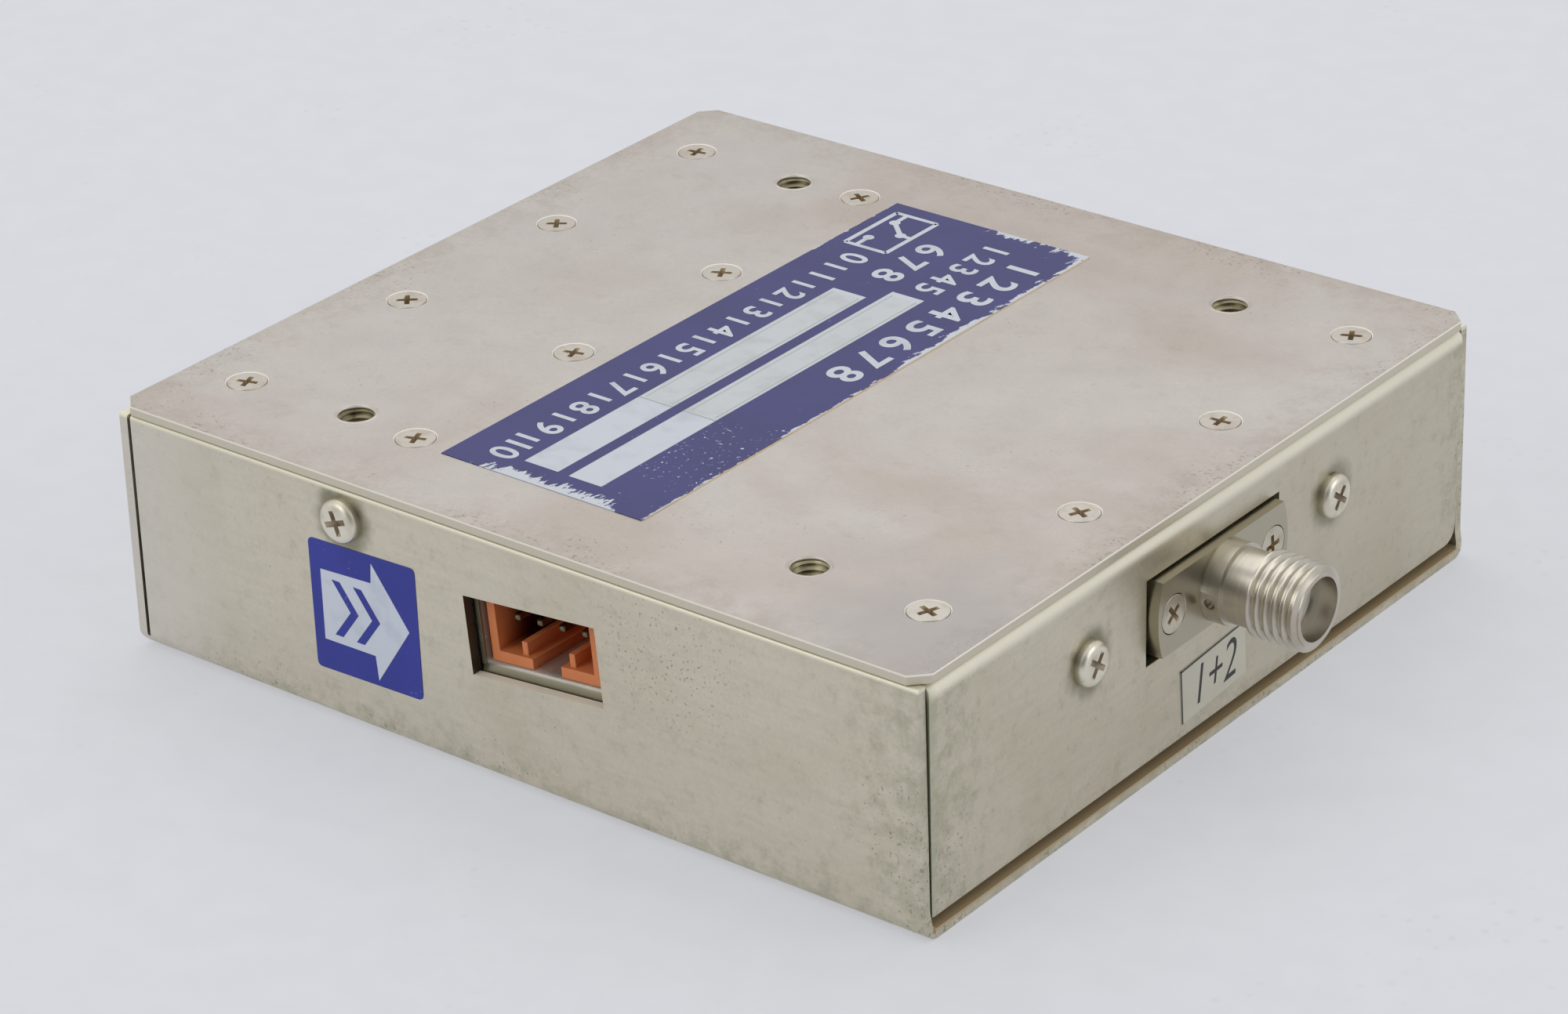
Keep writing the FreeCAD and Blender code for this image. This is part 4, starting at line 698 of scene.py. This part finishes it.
def add_tile(shape, corners, low, high, place=Matrix.Identity(4)):
    """A thin flat tile with any outline, made standing on its own plane and then placed."""
    edge = [shape.verts.new((x, y, low)) for x, y in corners]
    face = shape.faces.new(edge)
    raised = bmesh.ops.extrude_face_region(shape, geom=[face])["geom"]
    lifted = [part for part in raised if isinstance(part, bmesh.types.BMVert)]
    bmesh.ops.translate(shape, vec=(0, 0, high - low), verts=lifted)
    bmesh.ops.transform(shape, matrix=place, verts=edge + lifted)


def rectangle(x0, y0, x1, y1):
    return [(x0, y0), (x1, y0), (x1, y1), (x0, y1)]


def add_line(shape, start, end, width, low, high, place=Matrix.Identity(4)):
    """A narrow straight tile between two points."""
    along = (Vector(end) - Vector(start)).normalized()
    side = Vector((-along.y, along.x)) * width / 2
    corners = [Vector(start) - side, Vector(end) - side, Vector(end) + side, Vector(start) + side]
    add_tile(shape, [tuple(corner) for corner in corners], low, high, place)


def add_words(shape, words, size, place, stretch=1.0, bold=0.0, lean=0.0):
    """Flat lettering in the built-in face, centred on its place."""
    curve = bpy.data.curves.new("lettering", "FONT")
    curve.body = words
    curve.size = size
    curve.offset = bold * size
    curve.shear = lean
    curve.align_x = "CENTER"
    curve.align_y = "CENTER"
    holder = bpy.data.objects.new("lettering", curve)
    mesh = bpy.data.meshes.new_from_object(holder)
    mesh.transform(place @ Matrix.Diagonal((stretch, 1.0, 1.0, 1.0)))
    shape.from_mesh(mesh)
    bpy.data.objects.remove(holder)
    bpy.data.curves.remove(curve)
    bpy.data.meshes.remove(mesh)


def along_film(x, y, lift=0.0):
    """A place on the film whose own up is the cover's +X and whose own right is its -Y."""
    return Matrix.Translation((x, y, film_low.z + lift)) @ Matrix.Rotation(math.radians(-90), 4, "Z")


ink_blue = colour(54, 52, 108)
film_white = colour(202, 206, 213)
name_film = printed_film("name_film", ink_blue, film_white,
                         [(1, film_low.y, 0.0026, 0.6, 0, (-0.0095, -0.0050, 0.0038, 0.0048)),
                          (0, film_high.x, 0.0006, 0.36, 1, (-0.0300, -0.0290, 0.0000, 0.0060)),
                          (0, film_high.x, 0.0012, 0.5, 1, (-0.0020, 0.0040, 0.0300, 0.0310)),
                          (1, film_high.y, 0.0016, 0.45, 0, (-0.0070, 0.0010, 0.0200, 0.0210)),
                          (0, film_low.x, 0.0004, 0.3, 1, (-0.0300, 0.0250, 0.0400, 0.0410))],
                         ((0.0045, -0.0165, film_high.z), 0.0100))
bare_film = white_print("bare_film", colour(199, 203, 211), colour(186, 190, 198))
shape = bmesh.new()
add_tile(shape, rectangle(film_low.x, film_low.y, film_high.x, film_high.y), film_low.z,
         film_low.z + film_lift)
finished_piece("name_plate_film", shape, [name_film], "name_label")

bar_1 = rectangle(-0.0054, -0.02395, -0.0024, 0.0109)
bar_2 = rectangle(-0.0014, -0.0240, 0.00147, 0.0128)
ink_low, ink_high = film_low.z + film_lift, film_low.z + print_lift
shape = bmesh.new()
for bar in (bar_1, bar_2):
    add_tile(shape, bar, ink_low, ink_high)
scale_x = -0.0077
scale_start, scale_pitch = 0.0160, 0.0039
bold = 0.02
for step in range(11):
    y = scale_start - step * scale_pitch
    add_words(shape, str(step), 0.0031, along_film(scale_x + 0.0002, y, print_lift), 1.0, bold)
for step in range(10):
    y = scale_start - (step + 0.5) * scale_pitch
    add_line(shape, (scale_x - 0.0009, y), (scale_x + 0.0011, y), 0.0004, ink_low, ink_high)
for figures, size, x, first, pitch, stretch in (("12345678", 0.0037, 0.0041, 0.0213, 0.0031, 1.15),
                                                ("12345", 0.0031, 0.0004, 0.0231, 0.0021, 1.0),
                                                ("678", 0.0034, -0.0036, 0.0204, 0.0027, 1.1)):
    for step, mark in enumerate(figures):
        add_words(shape, mark, size, along_film(x, first - step * pitch, print_lift), stretch, bold)
symbol_line, dot_radius, dot_sides = 0.0004, 0.00044, 20
symbol_frame = rectangle(-0.0098, 0.0181, -0.0060, 0.0246)
for start, end in zip(symbol_frame, symbol_frame[1:] + symbol_frame[:1]):
    add_line(shape, start, end, symbol_line, ink_low, ink_high)
common, lower, upper = (-0.0070, 0.0213), (-0.0088, 0.0197), (-0.0088, 0.0230)
angles = [math.tau * step / dot_sides for step in range(dot_sides)]
for x, y in (common, lower, upper):
    rim = [(x + dot_radius * math.cos(angle), y + dot_radius * math.sin(angle)) for angle in angles]
    add_tile(shape, rim, ink_low, ink_high + 0.000004)
for start, end in ((common, upper), (common, (-0.0060, 0.0213)), (lower, (-0.0088, 0.0181)),
                   (upper, (-0.0088, 0.0246))):
    add_line(shape, start, end, symbol_line, ink_low, ink_high + 0.000002)
finished_piece("name_plate_print", shape, [bare_film])

seam_ink = white_print("seam_ink", colour(142, 158, 150), colour(160, 172, 166))
insert_paper = white_print("insert_paper", colour(196, 199, 202), colour(185, 188, 189))
seams = bmesh.new()
inserts = bmesh.new()
insert_lift = film_low.z + 0.0000575
for bar, far in ((bar_1, 0.0104), (bar_2, 0.0122)):
    (x0, y0), (x1, y1) = bar[0], bar[2]
    near = -0.0116
    add_tile(inserts, rectangle(x0, near, x1, far), ink_high, insert_lift)
    add_line(seams, (x0, near), (x1, near), 0.00009, insert_lift, film_high.z)
    add_line(seams, (x0 + 0.0004, near + 0.0003), (x0 + 0.0004, far), 0.00006, insert_lift, film_high.z)
    add_line(seams, (x1 - 0.0003, near + 0.0003), (x1 - 0.0003, far), 0.00006, insert_lift, film_high.z)
finished_piece("name_plate_inserts", inserts, [insert_paper])
finished_piece("name_plate_seams", seams, [seam_ink])

old_glue = white_print("old_glue", colour(206, 180, 138), colour(190, 168, 132))
shape = bmesh.new()
glue_x = film_high.x + 0.00005
add_line(shape, (glue_x, film_low.y + 0.0002), (glue_x, film_high.y - 0.0002), 0.00013, film_low.z,
         film_low.z + 0.00002)
finished_piece("glue_line", shape, [old_glue])


# ---- Arrow sticker ---------------------------------------------------------------------------
# A square blue paper sticker under the side screw, put on a little askew. A white block arrow
# points along the wall, with two plain chevrons on it.

wall_y = tray_low.y
sticker_thick = wall_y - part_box("arrow_label")[0].y


def rounded(points, radius):
    """An outline with each corner replaced by a small arc of five points."""
    made = []
    for before, corner, after in zip(points[-1:] + points[:-1], points, points[1:] + points[:1]):
        corner = Vector(corner)
        first = corner + (Vector(before) - corner).normalized() * radius
        last = corner + (Vector(after) - corner).normalized() * radius
        for step in range(5):
            part = step / 4
            point = first * (1 - part) ** 2 + corner * 2 * part * (1 - part) + last * part ** 2
            made.append(tuple(point))
    return made


def on_wall(points):
    """Corners in mm given as X and Z on the -Y wall, as X and Y of a tile that is then stood up."""
    return [(x / 1000, z / 1000) for x, z in points]


stood_up = Matrix.Translation((0, wall_y, 0)) @ Matrix.Rotation(math.radians(90), 4, "X")
arrow_ink = printed_film("arrow_ink", colour(51, 59, 150), film_white,
                         [(2, 0.00388, 0.0004, 0.2, 0, (-0.02, -0.018, 0.0, 0.001))],
                         ((-0.0125, wall_y, 0.009), 0.001))
arrow_paper = white_print("arrow_paper", colour(212, 219, 230), colour(196, 204, 218))
paper_top, arrow_top = sticker_thick * 0.7, sticker_thick * 0.85
shape = bmesh.new()
outline = rounded([(-17.32, 3.88), (-7.49, 4.14), (-7.57, 14.3), (-17.4, 13.96)], 0.45)
add_tile(shape, on_wall(outline), 0.0, paper_top, stood_up)
finished_piece("arrow_sticker", shape, [arrow_ink], "arrow_label")
shape = bmesh.new()
outline = [(-16.4, 6.27), (-11.7, 6.34), (-11.52, 4.45), (-8.37, 9.18), (-11.56, 13.57), (-11.7, 12.01),
           (-16.4, 11.75)]
add_tile(shape, on_wall(outline), paper_top, arrow_top, stood_up)
finished_piece("arrow_shape", shape, [arrow_paper])
shape = bmesh.new()
for start in (-15.4, -13.4):
    outline = [(start, 6.9), (start + 0.75, 6.9), (start + 2.35, 9.05), (start + 0.75, 11.2), (start, 11.2),
               (start + 1.6, 9.05)]
    add_tile(shape, on_wall(outline), arrow_top, sticker_thick, stood_up)
finished_piece("arrow_chevrons", shape, [arrow_ink])


# ---- Port numbers ----------------------------------------------------------------------------
# Clear film tabs with black type and a printed border line, one under each port.

tab_film, tree, shader, grain = grained("tab_film", colour(206, 202, 186), colour(204, 200, 182),
                                        colour(218, 214, 198), 350.0, metallic=0.6, roughness=0.42)
add_bump(tree, shader, grain, 0.00001, 0.4)
tab_type = white_print("tab_type", colour(42, 42, 46), colour(60, 60, 62))
tab_wide, tab_tall = 0.0080, 0.00425
tab_thick = 0.00006


def port_tab(name, number, face, y, z, outward, node=None):
    """A numbered tab on an end of the case, its own right pointing along the case's outline."""
    turn = 90 if outward > 0 else -90
    stand = (Matrix.Translation((face, y, z)) @ Matrix.Rotation(math.radians(4.0 * outward), 4, "X")
             @ Matrix.Rotation(math.radians(turn), 4, "Z") @ Matrix.Rotation(math.radians(90), 4, "X"))
    half, high = tab_wide / 2, tab_tall / 2
    film_top, type_top = tab_thick * 0.7, tab_thick * 0.9
    shape = bmesh.new()
    add_tile(shape, rectangle(-half, -high, half, high), 0.0, film_top, stand)
    finished_piece(name, shape, [tab_film], node)
    shape = bmesh.new()
    inset, line = 0.0001, 0.00014
    add_line(shape, (-half, high - inset), (half, high - inset), line, film_top, type_top, stand)
    add_line(shape, (-half + inset, high), (-half + inset, -high), line, film_top, type_top, stand)
    add_words(shape, number, 0.0044, stand @ Matrix.Translation((0, -0.0002, type_top)), 0.8, -0.008, 0.25)
    finished_piece(name + "_type", shape, [tab_type])


port_label_z = port_z - 0.00747
port_tab("com_tab", "1+2", panel_face, 0.0001, port_label_z, 1, "com_label")
port_tab("port_1_tab", "1", tray_low.x, 0.0121, port_label_z, -1)
port_tab("port_2_tab", "2", tray_low.x, -0.0119, port_label_z, -1, "outlet_labels")


# ---- Tapped holes ----------------------------------------------------------------------------
# Four M3 threads for mounting, cut through the cover into the block and left bright. A ring of
# burr stands round the mouth of each.

thread_bright = screw_steel_material("thread_bright", colour(168, 159, 130), colour(116, 106, 80), 0.3)
thread_pitch = 0.0005
thread_steps = 32
thread_turns = 6
thread_profile = ((0.00149, 0.0), (0.00124, -0.00025), (0.00149, -thread_pitch))
mount_holes = [(x, y) for x in (-0.020, 0.020) for y in (-0.025, 0.025)]


def spun(shape, profile, x, y, **settings):
    """Spins a profile of radii and heights about an upright line at the cover's face."""
    corners = [shape.verts.new((x + radius, y, plate_top + height)) for radius, height in profile]
    edges = [shape.edges.new(pair) for pair in zip(corners, corners[1:])]
    bmesh.ops.spin(shape, geom=corners + edges, cent=(x, y, 0), axis=(0, 0, 1), **settings)


shape = bmesh.new()
for x, y in mount_holes:
    spun(shape, thread_profile, x, y, angle=math.tau * thread_turns, steps=thread_steps * thread_turns,
         dvec=(0, 0, -thread_pitch / thread_steps), use_merge=False)
bmesh.ops.remove_doubles(shape, verts=shape.verts, dist=0.000004)
threads = finished_piece("tapped_threads", shape, [thread_bright], smooth=True)
threads.data.set_sharp_from_angle(angle=math.radians(40))

burr_profile = ((0.00158, -0.00001), (0.00150, 0.00003), (0.00142, 0.00004), (0.00134, -0.00002),
                (0.00131, -0.00012), (0.00134, -0.00024))
shape = bmesh.new()
for x, y in mount_holes:
    spun(shape, burr_profile, x, y, angle=math.tau, steps=48, use_merge=True)
finished_piece("tapping_burrs", shape, [cover_plating], smooth=True)


# ---- Everything inside -----------------------------------------------------------------------
# Soft-iron drive, moulded spools wound with enamelled copper, a small board and its leads. They
# show only with the case open, and their solids have the right shape as they are.

def plain_finish(name, dark, light, metallic, roughness, scale, members):
    """A mottled finish given to solids that keep their own meshes."""
    made, tree, shader, grain = grained(name, dark, dark, light, scale, 4.0, metallic, roughness,
                                        (0.2, roughness - 0.1))
    add_bump(tree, shader, grain, 0.00002, 0.3)
    finish_solids(made, members)


plain_finish("milled_aluminium", colour(168, 168, 166), colour(196, 196, 192), 1.0, 0.35, 800.0,
             ("rf_block", "rf_cover"))
plain_finish("zinc_iron", colour(150, 150, 148), colour(182, 180, 174), 1.0, 0.4, 500.0,
             ("armature_plate", "yoke_plate", "coil_cores", "pivot_bracket"))
plain_finish("spring_wire", colour(150, 148, 144), colour(180, 178, 172), 1.0, 0.3, 900.0,
             ("return_spring_1", "return_spring_2", "pivot_pin"))
plain_finish("plated_screws", colour(170, 164, 150), colour(200, 194, 182), 1.0, 0.35, 700.0,
             ("rf_cover_screws", "yoke_screws", "board_screws"))
plain_finish("tinned_brass", colour(176, 172, 160), colour(208, 204, 194), 1.0, 0.3, 700.0,
             ("coil_terminals", "yoke_spacers"))
plain_finish("black_nylon", colour(28, 28, 30), colour(44, 44, 46), 0.0, 0.55, 400.0,
             ("armature_cradle", "coil_bobbins"))
plain_finish("copper_winding", colour(126, 62, 30), colour(176, 96, 48), 1.0, 0.35, 2500.0,
             ("coil_windings",))
plain_finish("ground_ferrite", colour(48, 48, 50), colour(66, 66, 68), 0.0, 0.6, 500.0, ("bias_magnet",))
plain_finish("solder_mask", colour(22, 74, 40), colour(34, 96, 52), 0.0, 0.35, 300.0, ("control_board",))
plain_finish("diode_body", colour(20, 20, 22), colour(36, 36, 38), 0.0, 0.3, 500.0, ("board_diodes",))
plain_finish("wire_sleeve", colour(150, 34, 28), colour(176, 48, 40), 0.0, 0.5, 400.0, ("lead_wires",))
